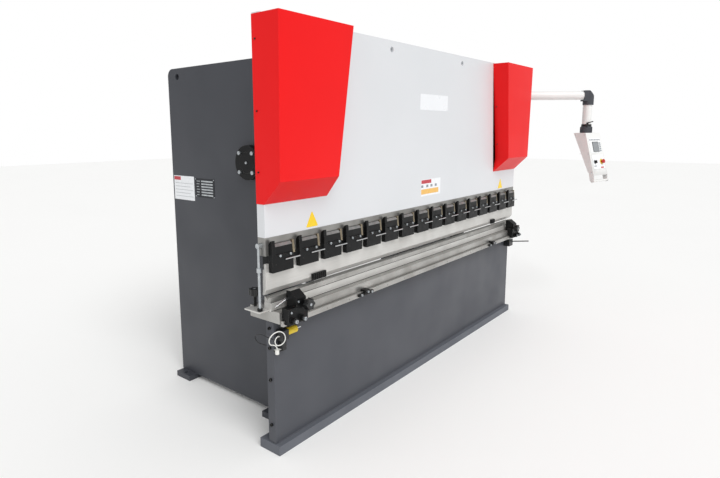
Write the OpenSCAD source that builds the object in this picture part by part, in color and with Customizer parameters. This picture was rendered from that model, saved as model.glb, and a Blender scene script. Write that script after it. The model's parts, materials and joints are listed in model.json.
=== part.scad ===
// Hydraulic torsion-bar press brake. Origin: on the floor, mid-length, under the front face of the ram.
// +X runs to the right along the bending line, +Y to the rear, +Z up.

/* [Side frames] */
// Distance over the outer faces of the two side plates
side_out = 2552; // [2300:4:2800]
// Thickness of a side plate
side_t = 50; // [30:2:60]
// Height of the top edge of a side plate
side_top = 2152; // [2140:2:2170]
// Distance of the rear edge of a side plate behind the ram face
side_rear = 1268; // [1250:2:1600]
// Distance of the front edge of a side plate above the throat
side_front = 140; // [139:1:160]
// Distance of the throat's rear edge behind the ram face
throat_rear = 345; // [300:5:380]
// Height of the throat's top edge
throat_top = 1290; // [1230:5:1300]
// Radius of the throat corners and of the rear top corner
corner_r = 50; // [20:5:80]
// Gap between a side plate and the floor
side_clear = 37; // [20:1:50]
// How far a foot plate stands out past a side plate
foot_out = 58; // [54:1:90]
// Diameter of the anchor holes
anchor_d = 26; // [18:1:34]
// Diameter of the lifting holes in the side plates
side_hole_d = 40; // [30:2:60]

/* [Bench] */
// Length of the bench plate
bench_len = 3098; // [2800:2:3400]
// Thickness of the bench plate
bench_t = 56; // [40:2:60]
// Distance of the bench plate's front face behind the ram face
bench_front = 10; // [5:1:15]
// Height of the foot bar
foot_h = 54; // [40:2:70]
// Depth of the foot bar, front to rear
foot_w = 155; // [150:1:170]
// How far the foot bar stands out in front of the ram face
foot_front = 25; // [20:1:40]
// Length of the foot bar
foot_len = 3114; // [2800:2:3400]
// Height of the table's underside
table_low = 750; // [700:2:800]
// Thickness of the table plate
table_t = 64; // [50:1:80]
// Width of the table plate, front to rear
table_w = 225; // [200:1:230]
// How far the table plate stands out in front of the ram face
table_front = 45; // [30:1:60]
// Length of the table plate
table_len = 3112; // [2800:2:3400]
// Height of the rail on the table's front edge
rail_h = 30; // [20:1:40]
// Depth of the rail on the table's front edge
rail_w = 20; // [14:1:30]

/* [Tools] */
// Height of the die rail on the table
die_rail_h = 44; // [30:1:60]
// Depth of the die rail, front to rear
die_rail_w = 52; // [44:1:80]
// Height of the die
die_h = 30; // [24:1:60]
// Width of the die's opening
vee_w = 32; // [16:1:34]
// Length of the die and the punch
tool_len = 3140; // [2800:2:3200]
// Gap between the punch tip and the die at rest
tool_gap = 16; // [10:1:40]
// Height of the punch from its tip to its shoulder
punch_h = 136; // [100:1:180]
// Thickness of the punch
punch_t = 24; // [16:1:30]

/* [Ram] */
// Length of the ram
ram_len = 3200; // [3100:2:3300]
// Thickness of the ram
ram_t = 55; // [40:1:56]
// Height of the ram plate itself
ram_h = 1188; // [1100:2:1300]
// Gap between the punch shoulder and the ram's lower edge
ram_over = 72; // [60:1:100]
// Height of the shelf that each piston pushes on, above the ram's lower edge
shelf_up = 388; // [340:2:400]
// Width of the cut-out around a cylinder
pocket_w = 300; // [240:2:320]
// Diameter of the lifting holes in the ram
ram_hole_d = 36; // [24:2:50]
// Distance between the lifting holes in the ram
ram_hole_gap = 960; // [600:10:1400]
// Number of punch clamps
clamps = 16; // [8:1:16]
// Distance between two punch clamps
clamp_pitch = 200; // [180:1:200]
// Width of a punch clamp
clamp_w = 158; // [120:1:170]

/* [Covers] */
// Width of a cover along its top edge
cover_w = 558; // [500:2:600]
// Width of a cover at the fold above its sloping bottom
cover_fold_w = 443; // [430:1:500]
// Width of a cover at its lower edge
cover_low_w = 480; // [440:1:520]
// Height of a cover
cover_h = 917; // [860:1:940]
// Height of a cover's sloping bottom
cover_slope_h = 119; // [60:1:140]
// How far a cover stands out at its top edge
cover_d = 133; // [120:1:180]
// How far a cover stands out at the fold
cover_fold_d = 121; // [112:1:170]
// Thickness of the cover sheet
sheet = 3; // [2:0.5:4]

/* [Drive] */
// Outer diameter of a cylinder
cyl_d = 220; // [180:2:220]
// Bore of a cylinder
cyl_bore = 160; // [120:2:170]
// Diameter of a piston rod
rod_d = 90; // [60:1:100]
// Distance between the two cylinders
cyl_gap = 2660; // [2640:2:2680]
// Diameter of the torsion shaft
shaft_d = 100; // [60:1:110]
// Height of the torsion shaft
shaft_z = 1557; // [1520:1:1600]
// Distance of the torsion shaft behind the ram face
shaft_y = 455; // [440:1:500]
// Length of a swing arm between its centres
arm_len = 300; // [240:1:300]
// Radial clearance of a running fit
fit = 0.05; // [0.02:0.01:0.1]

/* [Back gauge] */
// Distance between the two gauge rails
gauge_gap = 2000; // [1600:10:2060]
// Distance of the gauge beam behind the ram face
gauge_y = 480; // [470:5:500]
// Length of the gauge beam
gauge_len = 2300; // [2100:10:2380]
// Diameter of a gauge screw
screw_d = 25; // [16:1:32]
// Distance of a finger tip behind the ram face
tip_y = 200; // [195:5:260]

/* [Pendant] */
// Distance of the arm's pivot from the middle of the machine
pivot_x = 1700; // [1690:2:1800]
// Distance of the arm's pivot behind the ram face
pivot_y = 180; // [180:2:260]
// Height of the arm
arm_z = 2064; // [2050:2:2120]
// Reach of the arm from its pivot to the drop tube
arm_reach = 820; // [600:5:1000]
// Angle of the arm from the bending line
arm_turn = -50.4; // [-60:0.2:0]
// Diameter of the arm and the drop tube
tube_d = 82; // [60:1:84]
// Length of the drop tube below the elbow
drop_len = 184; // [120:2:260]
// Width of the control box
box_w = 270; // [200:2:320]
// Angle of the control box from straight ahead
box_turn = -12.6; // [-30:0.2:30]

/* [Cabinet] */
// Width of the electrical cabinet, front to rear
cab_w = 600; // [400:10:600]
// Height of the electrical cabinet
cab_h = 900; // [600:10:1000]
// Depth of the electrical cabinet
cab_d = 220; // [160:5:300]

/* [Hidden] */
$fn = 48;

gap = 0.3;
slide_gap = 0.4;
side_in = side_out / 2 - side_t;
side_x = side_out / 2;
table_top = table_low + table_t;
die_z = table_top + die_rail_h;
die_top = die_z + die_h;
tip_z = die_top + tool_gap;
shoulder_z = tip_z + punch_h;
ram_low = shoulder_z + ram_over;
ram_top = ram_low + ram_h;
shelf_z = ram_low + shelf_up;
tool_y = ram_t / 2;
cyl_x = cyl_gap / 2;
cyl_z = shelf_z + 140;
cyl_len = 540;
cyl_wall_end = 60;
bracket_z = cyl_z + 240;
bracket_h = 200;
cover_top = ram_top - 6;
cover_low = cover_top - cover_h;
arm_drop = 30;
arm_rest = asin(arm_drop / arm_len);
arm_x = 1050;
arm_t = 60;
link_x = arm_x + arm_t + 8;
link_t = 25;
pin_d = 40;
pin_y = shaft_y - arm_len * cos(arm_rest);
pin_z = shaft_z - arm_drop;
link_low_z = ram_low + 218;
anchor_x = side_x + foot_out / 2 + 1;
anchor_front_y = foot_w - foot_front - 32;
anchor_rear_y = side_rear - 83;
rear_foot_w = 150;
front_foot_y = 240;
front_foot_w = 120;
rail_z = table_low - 12;
rail_front = table_front + rail_w;
beam_t = 120;
gauge_x = gauge_gap / 2;
support_z = 640;
support_h = 95;
support_top = support_z + support_h;
support_rear = 960;
gauge_rail = 30;
gauge_rail_h = 25;
screw_x = gauge_x - 75;
screw_z = support_top + 40;
carriage_z = support_top + 65;
carriage_t = 20;
gauge_beam_h = 80;
gauge_beam_z = carriage_z + carriage_t;
gauge_beam_top = gauge_beam_z + gauge_beam_h;
pulley_r = 30;
pulley_y = 920;
finger_x = 500;
tank_y = 880;
tank_w = 360;
tank_z = 1560;
tank_h = 390;
tank_top = tank_z + tank_h + 6;
motor_r = 115;
motor_z = tank_top + 130;
cab_y = 560;
cab_z = 760;
cab_x = side_x + cab_d;
door_gap = 0.8;
door_x = cab_x + door_gap;
door_t = 20;
hinge_y = cab_y + cab_w + 8;
elbow_w = 92;
elbow_in = 52;
drop_low = arm_z - 90 - drop_len;
ring_r = 46;
lever_r = 53;
lever_turn = 217;
box_top = drop_low - 82;
box_shift = 18;
box_h = 402;
box_lean = 106;
box_top_d = 118;
box_low_d = 58;
grip_drop = 52;
face_tilt = atan(box_lean / box_h);
stop_x = 56;
selector_x = -68;
stop_stem_r = 11;
control_down = 286;
bracket_x = -1478;
knob_x = 63;
sensor_x = -1480;
valve_x = -360;
valve_y = tank_y + 90;
pipe_r = 11;
pipe_z = side_top + 40;
pipe_y = 190;
port_z = cyl_z + cyl_len - 30;
handle_y = cab_y + 50;
handle_z = cab_z + cab_h / 2;
switch_y = cab_y + cab_w / 2;
switch_z = cab_z + cab_h - 160;
tang_y0 = 3;
tang_y1 = 17;
tang_z = shoulder_z + 30;
plate_t = 29;
rod_x = -ram_len / 2 - 14;
rod_y = 36;
rod_r = 7;
guide_x = -table_len / 2 + 30;
guide_z = table_top + 8;
post_x = -table_len / 2 - 18;
post_y = 118;
knob_z = table_top + 28;
lever_y = -table_front + 10;
lever_z = table_top + 56;
sensor_y = -16;
sensor_z = 682;
feeler_x = 1512;

// Points of a round corner about a centre
function arc(y, z, r, from, to, steps) =
    [for (i = [0 : steps])
        [y + r * cos(from + (to - from) * i / steps), z + r * sin(from + (to - from) * i / steps)]];

// A Y-Z outline carried along X from a start
module along_x(start, len) {
    translate([start, 0, 0]) rotate([90, 0, 90]) linear_extrude(height = len) children();
}

// An X-Z outline carried rearwards along Y from a start
module along_y(start, len) {
    translate([0, start + len, 0]) rotate([90, 0, 0]) linear_extrude(height = len) children();
}

// A box from its lowest corner and its size, with its X span given by two ends
module slab(x0, x1, y0, y1, z0, z1) {
    translate([x0, y0, z0]) cube([x1 - x0, y1 - y0, z1 - z0]);
}

// A round bar along X
module bar_x(r, x0, x1, y, z) {
    translate([x0, y, z]) rotate([0, 90, 0]) cylinder(r = r, h = x1 - x0);
}

// A round bar along Y
module bar_y(r, x, y0, y1, z) {
    translate([x, y1, z]) rotate([90, 0, 0]) cylinder(r = r, h = y1 - y0);
}

// The same piece on both sides
module both() {
    children();
    mirror([1, 0, 0]) children();
}

module side_plate() {
    difference() {
        union() {
            along_x(side_in, side_t) polygon(concat(
                [[bench_front + bench_t, foot_h], [bench_front + bench_t, table_low]],
                arc(throat_rear - corner_r, table_low + corner_r, corner_r, -90, 0, 6),
                arc(throat_rear - corner_r, throat_top - corner_r, corner_r, 0, 90, 6),
                [[side_front, throat_top], [side_front, side_top]],
                arc(side_rear - corner_r, side_top - corner_r, corner_r, 90, 0, 8),
                [[side_rear, side_clear], [foot_w - foot_front + 1, side_clear],
                 [foot_w - foot_front + 1, foot_h]]));
            slab(side_in, side_x + foot_out, anchor_rear_y - rear_foot_w / 2, anchor_rear_y + rear_foot_w / 2,
                0, side_clear);
            slab(side_in, side_x + foot_out, front_foot_y, front_foot_y + front_foot_w, 0, side_clear);
        }
        bar_x(side_hole_d / 2, side_in - 1, side_x + 1, side_rear - 104, side_top - 55);
        bar_x(shaft_d / 2 + 25, side_in - 1, side_x + 1, shaft_y, shaft_z);
        translate([anchor_x, anchor_rear_y, -1]) cylinder(r = anchor_d / 2, h = side_clear + 2);
    }
}

module left_side_plate() {
    color("dimgray") mirror([1, 0, 0]) side_plate();
}

module right_side_plate() {
    color("dimgray") side_plate();
}

module bench_plate() {
    color("gray") slab(-bench_len / 2, bench_len / 2, bench_front, bench_front + bench_t, foot_h, table_low);
}

module foot_bar() {
    color("gray") difference() {
        slab(-foot_len / 2, foot_len / 2, -foot_front, foot_w - foot_front, 0, foot_h);
        both() translate([anchor_x, anchor_front_y, -1]) cylinder(r = anchor_d / 2, h = foot_h + 2);
    }
}

module cross_beams() {
    color("dimgray") {
        slab(-side_in, side_in, side_rear - 180, side_rear - 180 + beam_t, 140, 140 + beam_t);
        slab(-side_in, side_in, support_rear, support_rear + 80, support_top - beam_t, support_top);
    }
}

module table_plate() {
    color("silver")
        slab(-table_len / 2, table_len / 2, -table_front, table_w - table_front, table_low, table_top);
}

module front_rail() {
    color("silver")
        slab(-table_len / 2 + 8, table_len / 2 - 8, -rail_front, -table_front, rail_z, rail_z + rail_h);
}

module die_rail() {
    color("silver") slab(-tool_len / 2, tool_len / 2, 0, die_rail_w, table_top, die_z);
}

module die() {
    color("lightgray") along_x(-tool_len / 2, tool_len) polygon([[3, die_z], [3, die_top],
        [tool_y - vee_w / 2, die_top], [tool_y, die_top - vee_w / 2], [tool_y + vee_w / 2, die_top],
        [die_rail_w - 3, die_top], [die_rail_w - 3, die_z]]);
}

module ram_guides() {
    color("dimgray") both() {
        slab(side_in - 30, side_x, ram_t + gap, side_front, throat_top + 20, throat_top + 180);
    }
}

// A cylinder hangs in its cut-out in the ram, held to the side plate by a saddle
module cylinder_unit() {
    difference() {
        union() {
            translate([cyl_x, tool_y, cyl_z]) cylinder(r = cyl_d / 2, h = cyl_len);
            translate([cyl_x, tool_y, cyl_z + cyl_len]) cylinder(r = cyl_d / 2 - 40, h = 60);
        }
        translate([cyl_x, tool_y, cyl_z + cyl_wall_end])
            cylinder(r = cyl_bore / 2, h = cyl_len - 2 * cyl_wall_end);
        translate([cyl_x, tool_y, cyl_z - 1]) cylinder(r = rod_d / 2 + fit, h = cyl_wall_end + 2);
    }
    difference() {
        slab(cyl_x - cyl_d / 2 - 5, cyl_x + cyl_d / 2 + 5, ram_t + 45, side_front,
            bracket_z, bracket_z + bracket_h);
        translate([cyl_x, tool_y, bracket_z - 1]) cylinder(r = cyl_d / 2 + fit, h = bracket_h + 2);
    }
}

module cylinders() {
    color("dimgray") both() cylinder_unit();
}

module torsion_bearings() {
    color("#202022") both() difference() {
        union() {
            bar_x(shaft_d / 2 + 25, side_in, side_x, shaft_y, shaft_z);
            bar_x(shaft_d / 2 + 53, side_x, side_x + 24, shaft_y, shaft_z);
            for (a = [0 : 60 : 300]) bar_x(9, side_x + 24, side_x + 36,
                shaft_y + (shaft_d / 2 + 38) * cos(a), shaft_z + (shaft_d / 2 + 38) * sin(a));
        }
        bar_x(shaft_d / 2 + fit, side_in - 1, side_x + 25, shaft_y, shaft_z);
    }
}

module oil_tank() {
    color("dimgray") {
        difference() {
            slab(-side_in, side_in, tank_y, tank_y + tank_w, tank_z, tank_z + tank_h);
            slab(-side_in + 6, side_in - 6, tank_y + 6, tank_y + tank_w - 6, tank_z + 6, tank_z + tank_h + 1);
        }
        slab(-side_in, side_in, tank_y, tank_y + tank_w, tank_z + tank_h, tank_top);
        translate([-760, tank_y + tank_w / 2, tank_top]) cylinder(r = 38, h = 70);
    }
}

module pump_motor() {
    color("steelblue") {
        bar_x(motor_r, 180, 500, tank_y + tank_w / 2, motor_z);
        bar_x(motor_r - 12, 500, 560, tank_y + tank_w / 2, motor_z);
        bar_x(motor_r - 35, 60, 180, tank_y + tank_w / 2, motor_z);
        slab(220, 460, tank_y + 80, tank_y + tank_w - 80, tank_top, motor_z - motor_r + 20);
        slab(290, 390, tank_y + tank_w / 2 - 60, tank_y + tank_w / 2 + 60, motor_z + motor_r - 10,
            motor_z + motor_r + 40);
        slab(20, 60, tank_y + tank_w / 2 - 50, tank_y + tank_w / 2 + 50, tank_top, motor_z + 50);
    }
}

module valve_block() {
    color("silver") {
        slab(valve_x - 100, valve_x + 100, valve_y, valve_y + 160, tank_top, tank_top + 130);
        for (i = [-1 : 1]) slab(valve_x - 24 + 66 * i, valve_x + 24 + 66 * i, valve_y + 20, valve_y + 140,
            tank_top + 130, tank_top + 200);
        for (i = [-1 : 1]) bar_y(18, valve_x + 66 * i, valve_y - 60, valve_y + 20, tank_top + 165);
    }
}

// One rigid pipe, from the valve block over the side plate to a cylinder's port
module pipe_run(side) {
    start_x = valve_x + side * 50;
    end_x = side * cyl_x;
    union() {
        bar_y(pipe_r, start_x, pipe_y, valve_y - 80, pipe_z);
        translate([start_x, valve_y - 80, tank_top + 60]) cylinder(r = pipe_r, h = pipe_z - tank_top - 60);
        bar_y(pipe_r, start_x, valve_y - 80, valve_y, tank_top + 60);
        bar_x(pipe_r, min(start_x, end_x), max(start_x, end_x), pipe_y, pipe_z);
        translate([end_x, pipe_y, port_z]) cylinder(r = pipe_r, h = pipe_z - port_z);
        bar_y(pipe_r, end_x, tool_y + cyl_d / 2, pipe_y, port_z);
        for (p = [[start_x, valve_y - 80, tank_top + 60], [start_x, valve_y - 80, pipe_z],
            [start_x, pipe_y, pipe_z], [end_x, pipe_y, pipe_z], [end_x, pipe_y, port_z]])
            translate(p) sphere(r = pipe_r);
    }
}

module pressure_pipes() {
    color("silver") {
        pipe_run(-1);
        pipe_run(1);
    }
}

module gauge_support() {
    slab(gauge_x - 110, gauge_x + 40, bench_front + bench_t, support_rear, support_z, support_top);
    slab(gauge_x - gauge_rail / 2, gauge_x + gauge_rail / 2, 190, 940, support_top, support_top + gauge_rail_h);
    for (y = [200, 880]) difference() {
        slab(screw_x - 25, screw_x + 25, y, y + 25, support_top, carriage_z - 3);
        bar_y(screw_d / 2 + fit, screw_x, y - 1, y + 26, screw_z);
    }
}

module gauge_supports() {
    color("slategray") both() gauge_support();
}

module gauge_motor() {
    color("#2a2a2c") slab(screw_x - 40, screw_x + 40, support_rear + 2, support_rear + 182,
        support_top, support_top + 80);
}

module gauge_belt() {
    color("#202020") difference() {
        union() {
            slab(-screw_x, screw_x, pulley_y + 2, pulley_y + 20,
                screw_z - pulley_r - 3, screw_z + pulley_r + 3);
            both() bar_y(pulley_r + 3, screw_x, pulley_y + 2, pulley_y + 20, screw_z);
        }
        slab(-screw_x, screw_x, pulley_y, pulley_y + 22, screw_z - pulley_r - fit, screw_z + pulley_r + fit);
        both() bar_y(pulley_r + fit, screw_x, pulley_y, pulley_y + 22, screw_z);
    }
}

module gauge_screw() {
    bar_y(screw_d / 2, screw_x, 196, 955, screw_z);
    difference() {
        bar_y(pulley_r, screw_x, pulley_y, pulley_y + 22, screw_z);
        bar_y(screw_d / 2, screw_x, pulley_y - 1, pulley_y + 23, screw_z);
    }
}

module left_gauge_screw() {
    color("lightgray") mirror([1, 0, 0]) gauge_screw();
}

module right_gauge_screw() {
    color("lightgray") gauge_screw();
}

module gauge_beam() {
    color("gainsboro") {
        slab(-gauge_len / 2, gauge_len / 2, gauge_y - 40, gauge_y + 40, gauge_beam_z, gauge_beam_top);
        both() {
            slab(gauge_x - 110, gauge_x + 40, gauge_y - 70, gauge_y + 70, carriage_z, gauge_beam_z);
            difference() {
                slab(gauge_x - 35, gauge_x + 35, gauge_y - 70, gauge_y + 70, support_top + 6, carriage_z);
                slab(gauge_x - gauge_rail / 2 - gap, gauge_x + gauge_rail / 2 + gap, gauge_y - 71, gauge_y + 71,
                    support_top, support_top + gauge_rail_h + gap);
            }
            difference() {
                slab(screw_x - 25, screw_x + 25, gauge_y - 30, gauge_y + 30, support_top + 12, carriage_z);
                bar_y(screw_d / 2 + fit, screw_x, gauge_y - 31, gauge_y + 31, screw_z);
            }
        }
    }
}

module finger(x) {
    difference() {
        slab(x - 40, x + 40, gauge_y - 60, gauge_y + 60, gauge_beam_z + 20, gauge_beam_top + 20);
        slab(x - 41, x + 41, gauge_y - 40 - gap, gauge_y + 40 + gap, gauge_beam_z, gauge_beam_top + gap);
    }
    slab(x - 16, x + 16, tip_y + 12, gauge_y - 60, gauge_beam_top - 22, gauge_beam_top + 12);
    slab(x - 32, x + 32, tip_y, tip_y + 12, gauge_beam_top - 26, gauge_beam_top + 24);
}

module left_finger() {
    color("silver") finger(-finger_x);
}

module right_finger() {
    color("silver") finger(finger_x);
}

module cabinet_box() {
    color("gainsboro") difference() {
        slab(side_x, cab_x, cab_y, cab_y + cab_w, cab_z, cab_z + cab_h);
        slab(side_x + 3, cab_x + 1, cab_y + 3, cab_y + cab_w - 3, cab_z + 3, cab_z + cab_h - 3);
    }
}

module cabinet_door() {
    color("gainsboro") {
        difference() {
            slab(door_x, door_x + door_t, cab_y, cab_y + cab_w, cab_z, cab_z + cab_h);
            slab(door_x - 1, door_x + door_t - 3, cab_y + 3, cab_y + cab_w - 3, cab_z + 3, cab_z + cab_h - 3);
        }
        for (z = [cab_z + 120, cab_z + cab_h - 180]) {
            translate([door_x + door_t / 2, hinge_y, z]) cylinder(r = 6, h = 60);
            slab(door_x + door_t / 2 - 3, door_x + door_t / 2 + 3, cab_y + cab_w - 4, hinge_y - 3, z, z + 60);
        }
    }
}

module door_handle() {
    color("#2a2a2c") {
        bar_x(14, door_x + door_t, door_x + door_t + 24, handle_y, handle_z);
        slab(door_x + door_t + 24, door_x + door_t + 36, handle_y - 14, handle_y + 14,
            handle_z - 130, handle_z + 18);
    }
}

module main_switch() {
    color("red") {
        bar_x(34, door_x + door_t, door_x + door_t + 10, switch_y, switch_z);
        bar_x(24, door_x + door_t + 10, door_x + door_t + 24, switch_y, switch_z);
        slab(door_x + door_t + 24, door_x + door_t + 42, switch_y - 8, switch_y + 8,
            switch_z - 26, switch_z + 26);
    }
}

module arm_bracket() {
    color("dimgray") {
        slab(side_x, side_x + 20, side_front + 2, side_front + 130, arm_z - 160, arm_z - 45);
        slab(side_x + 20, pivot_x, pivot_y - 38, pivot_y + 38, arm_z - 136, arm_z - 60);
        translate([pivot_x, pivot_y, arm_z - 136]) cylinder(r = 55, h = 80);
        translate([pivot_x, pivot_y, arm_z - 60]) cylinder(r = 20, h = 110);
    }
}

// Carries a piece of the arm from the arm's own line to its place
module arm_place() {
    translate([pivot_x, pivot_y, 0]) rotate([0, 0, arm_turn]) children();
}

module pendant_arm() {
    color("whitesmoke") arm_place() {
        difference() {
            union() {
                translate([0, 0, arm_z - 55]) cylinder(r = 55, h = 110);
                bar_x(tube_d / 2, 40, arm_reach - elbow_in, 0, arm_z);
            }
            translate([0, 0, arm_z - 56]) cylinder(r = 20 + fit, h = 112);
            bar_x(tube_d / 2 - 4, 62, arm_reach - elbow_in + 1, 0, arm_z);
        }
        translate([arm_reach, 0, drop_low]) difference() {
            cylinder(r = tube_d / 2, h = drop_len);
            translate([0, 0, -1]) cylinder(r = tube_d / 2 - 4, h = drop_len + 2);
        }
    }
}

module arm_elbow() {
    color("#46484e") arm_place() difference() {
        union() {
            slab(arm_reach - elbow_in, arm_reach + 6, -elbow_w / 2, elbow_w / 2, arm_z - 54, arm_z + 46);
            translate([arm_reach + 3, 0, arm_z - 90]) cylinder(r = elbow_w / 2 + 3, h = 136);
        }
        translate([arm_reach, elbow_w, arm_z]) rotate([90, 0, 0]) linear_extrude(height = 2 * elbow_w)
            polygon([[-6, 47], [70, -34], [70, 47]]);
    }
}

// The box hangs under the drop tube; its own front is -Y before it turns
module box_place() {
    arm_place() translate([arm_reach, 0, 0]) rotate([0, 0, -arm_turn + box_turn]) children();
}

module clamp_lever() {
    color("#202022") box_place() {
        translate([0, 0, drop_low - 22]) cylinder(r = ring_r, h = 22 - gap);
        rotate([0, 0, lever_turn]) translate([lever_r, 0, drop_low - 22]) {
            cylinder(r = 9, h = 38);
            translate([0, 0, 34]) rotate([0, 74, 90]) cylinder(r = 5, h = 52);
        }
    }
}

module pendant_collar() {
    color("#303236") box_place() translate([0, 0, box_top]) cylinder(r = 55, h = drop_low - 22 - gap - box_top);
}

// Side outline of the control box, front to the left
module box_outline(in) {
    polygon([
        [box_top_d / 2 - in, -in],
        [-box_top_d / 2 + in, -in],
        [-box_top_d / 2 - box_lean + in, -box_h + in],
        [-box_top_d / 2 - box_lean + box_low_d - in, -box_h + 28 + in]]);
}

module pendant_housing() {
    color("whitesmoke") box_place() translate([box_shift, 0, box_top]) {
        difference() {
            along_x(-box_w / 2, box_w) box_outline(0);
            along_x(-box_w / 2 + 3, box_w - 6) box_outline(3);
            translate([0, -box_top_d / 2, 0]) rotate([-face_tilt, 0, 0])
                bar_y(stop_stem_r + 0.4, stop_x, -1, 6, -control_down);
        }
        for (x = [-box_w / 2, box_w / 2 - 12]) along_x(x, 12) polygon([
            [-box_top_d / 2 - box_lean + box_low_d - 8, -box_h + 24], [-box_top_d / 2 - box_lean, -box_h],
            [-box_top_d / 2 - box_lean - 12, -box_h - grip_drop - 6],
            [-box_top_d / 2 - box_lean + 14, -box_h - grip_drop - 16],
            [-box_top_d / 2 - box_lean + 34, -box_h - grip_drop]]);
        bar_x(11, -box_w / 2 + 12, box_w / 2 - 12, -box_top_d / 2 - box_lean + 4, -box_h - grip_drop);
    }
}

// Carries a piece to the sloping face, its own outward side along -Y
module on_face(x, down) {
    box_place() translate([box_shift, -box_top_d / 2, box_top]) rotate([-face_tilt, 0, 0])
        translate([x, 0, -down]) children();
}

module pendant_screen() {
    color("gray") on_face(0, 0) {
        slab(-56, 58, -6, -gap, -188, -90);
        difference() {
            slab(-104, 110, -4, -gap, -control_down - 70, -control_down + 70);
            bar_y(stop_stem_r + 0.4, stop_x, -5, 1, -control_down);
        }
    }
}

module emergency_stop() {
    color("red") on_face(stop_x, control_down) {
        bar_y(20, 0, -34, -18, 0);
        bar_y(stop_stem_r, 0, -18, 2, 0);
    }
}

module mode_selector() {
    color("#202022") on_face(selector_x, control_down) {
        bar_y(15, 0, -14, -4.3, 0);
        slab(-5, 5, -26, -14, -14, 14);
    }
}

module ram_plate() {
    color("whitesmoke") difference() {
        slab(-ram_len / 2, ram_len / 2, 0, ram_t, ram_low, ram_top);
        both() slab(cyl_x - pocket_w / 2, cyl_x + pocket_w / 2, -1, ram_t + 1, shelf_z, ram_top + 1);
        both() bar_y(ram_hole_d / 2, ram_hole_gap / 2, -1, ram_t + 1, ram_top - 56);
    }
}

// The solid that a cover's sheet wraps, drawn in by the sheet's thickness
module cover_form(in) {
    back = in > 0 ? 1 - gap : -gap;
    intersection() {
        along_x(ram_len / 2 - cover_w - 10, cover_w + 20) polygon([
            [-cover_fold_d + in, cover_low + cover_slope_h + in / 2],
            [-cover_d + in, cover_top - in],
            [back, cover_top - in],
            [back, cover_low + in * 1.5]]);
        along_y(-cover_d - 1, cover_d + 2) polygon([
            [ram_len / 2 + sheet - in, cover_low],
            [ram_len / 2 + sheet - in, cover_top],
            [ram_len / 2 - cover_w + in, cover_top],
            [ram_len / 2 - cover_fold_w + in, cover_low + cover_slope_h],
            [ram_len / 2 - cover_low_w + in, cover_low]]);
    }
}

module cover() {
    difference() {
        cover_form(0);
        cover_form(sheet);
    }
    slab(ram_len / 2, ram_len / 2 + sheet, -gap, ram_t, cover_low, cover_top);
}

module left_cover() {
    color("red") mirror([1, 0, 0]) cover();
}

module right_cover() {
    color("red") cover();
}

// Left edge of clamp number i
function clamp_at(i) = -(clamps - 1) * clamp_pitch / 2 - clamp_w / 2 + i * clamp_pitch;

module clamp_bodies() {
    color("#1e1e20") for (i = [0 : clamps - 1]) difference() {
        slab(clamp_at(i), clamp_at(i) + clamp_w - 6, 0, ram_t - 9, shoulder_z, ram_low);
        slab(clamp_at(i) - 1, clamp_at(i) + clamp_w, -1, tang_y1 + gap, shoulder_z - 1, tang_z + gap);
    }
}

module clamp_plates() {
    color("#1e1e20") for (i = [0 : clamps - 1]) {
        slab(clamp_at(i), clamp_at(i) + clamp_w - 6, -plate_t, -gap, shoulder_z - 16, ram_low);
        slab(clamp_at(i) + 26, clamp_at(i) + clamp_w - 8, -plate_t + 7, -gap, ram_low, ram_low + 58);
        along_x(clamp_at(i), 22) polygon([[-gap, ram_low], [-gap, ram_low + 58], [-16, ram_low + 78],
            [-24, ram_low + 78], [-plate_t, ram_low + 30], [-plate_t, ram_low]]);
    }
}

module clamp_bolts() {
    color("silver") for (i = [0 : clamps - 1], x = [52, 127]) {
        bar_y(7, clamp_at(i) + x, -plate_t - 7, -plate_t, ram_low - 4);
    }
}

module clamp_wedges() {
    color("#b09050") for (i = [0 : clamps - 1]) {
        along_x(clamp_at(i) + clamp_w, 16) polygon([[-gap, ram_low - 6], [-gap, ram_low + 62],
            [-12, ram_low + 62], [-20, ram_low - 6]]);
    }
}

module punch() {
    color("lightgray") along_x(-tool_len / 2 - 28, tool_len + 56) polygon([[tool_y - 3, tip_z],
        [2, tip_z + 30], [2, shoulder_z], [tang_y0, shoulder_z], [tang_y0, tang_z], [tang_y1, tang_z],
        [tang_y1, shoulder_z], [punch_t + 2, shoulder_z], [punch_t + 4, tip_z + 30], [tool_y + 3, tip_z + 5],
        [tool_y, tip_z]]);
}

module piston_rods() {
    color("lightgray") both() translate([cyl_x, tool_y, 0]) {
        translate([0, 0, shelf_z]) cylinder(r = rod_d / 2 + 25, h = 30);
        translate([0, 0, shelf_z + 30]) cylinder(r = rod_d / 2, h = 350);
        translate([0, 0, shelf_z + 380]) cylinder(r = cyl_bore / 2 - fit, h = 60);
    }
}

module torsion_shaft() {
    color("dimgray") {
        bar_x(shaft_d / 2, -side_x - 20, side_x + 20, shaft_y, shaft_z);
        both() translate([arm_x, shaft_y, shaft_z]) rotate([arm_rest, 0, 0]) difference() {
            union() {
                bar_x(shaft_d / 2 + 30, 0, arm_t, 0, 0);
                slab(0, arm_t, -arm_len, 0, -40, 40);
                bar_x(46, 0, arm_t, -arm_len, 0);
                bar_x(pin_d / 2, 0, arm_t + link_t + 12, -arm_len, 0);
            }
            bar_x(shaft_d / 2, -1, arm_t + 1, 0, 0);
        }
    }
}

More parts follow.
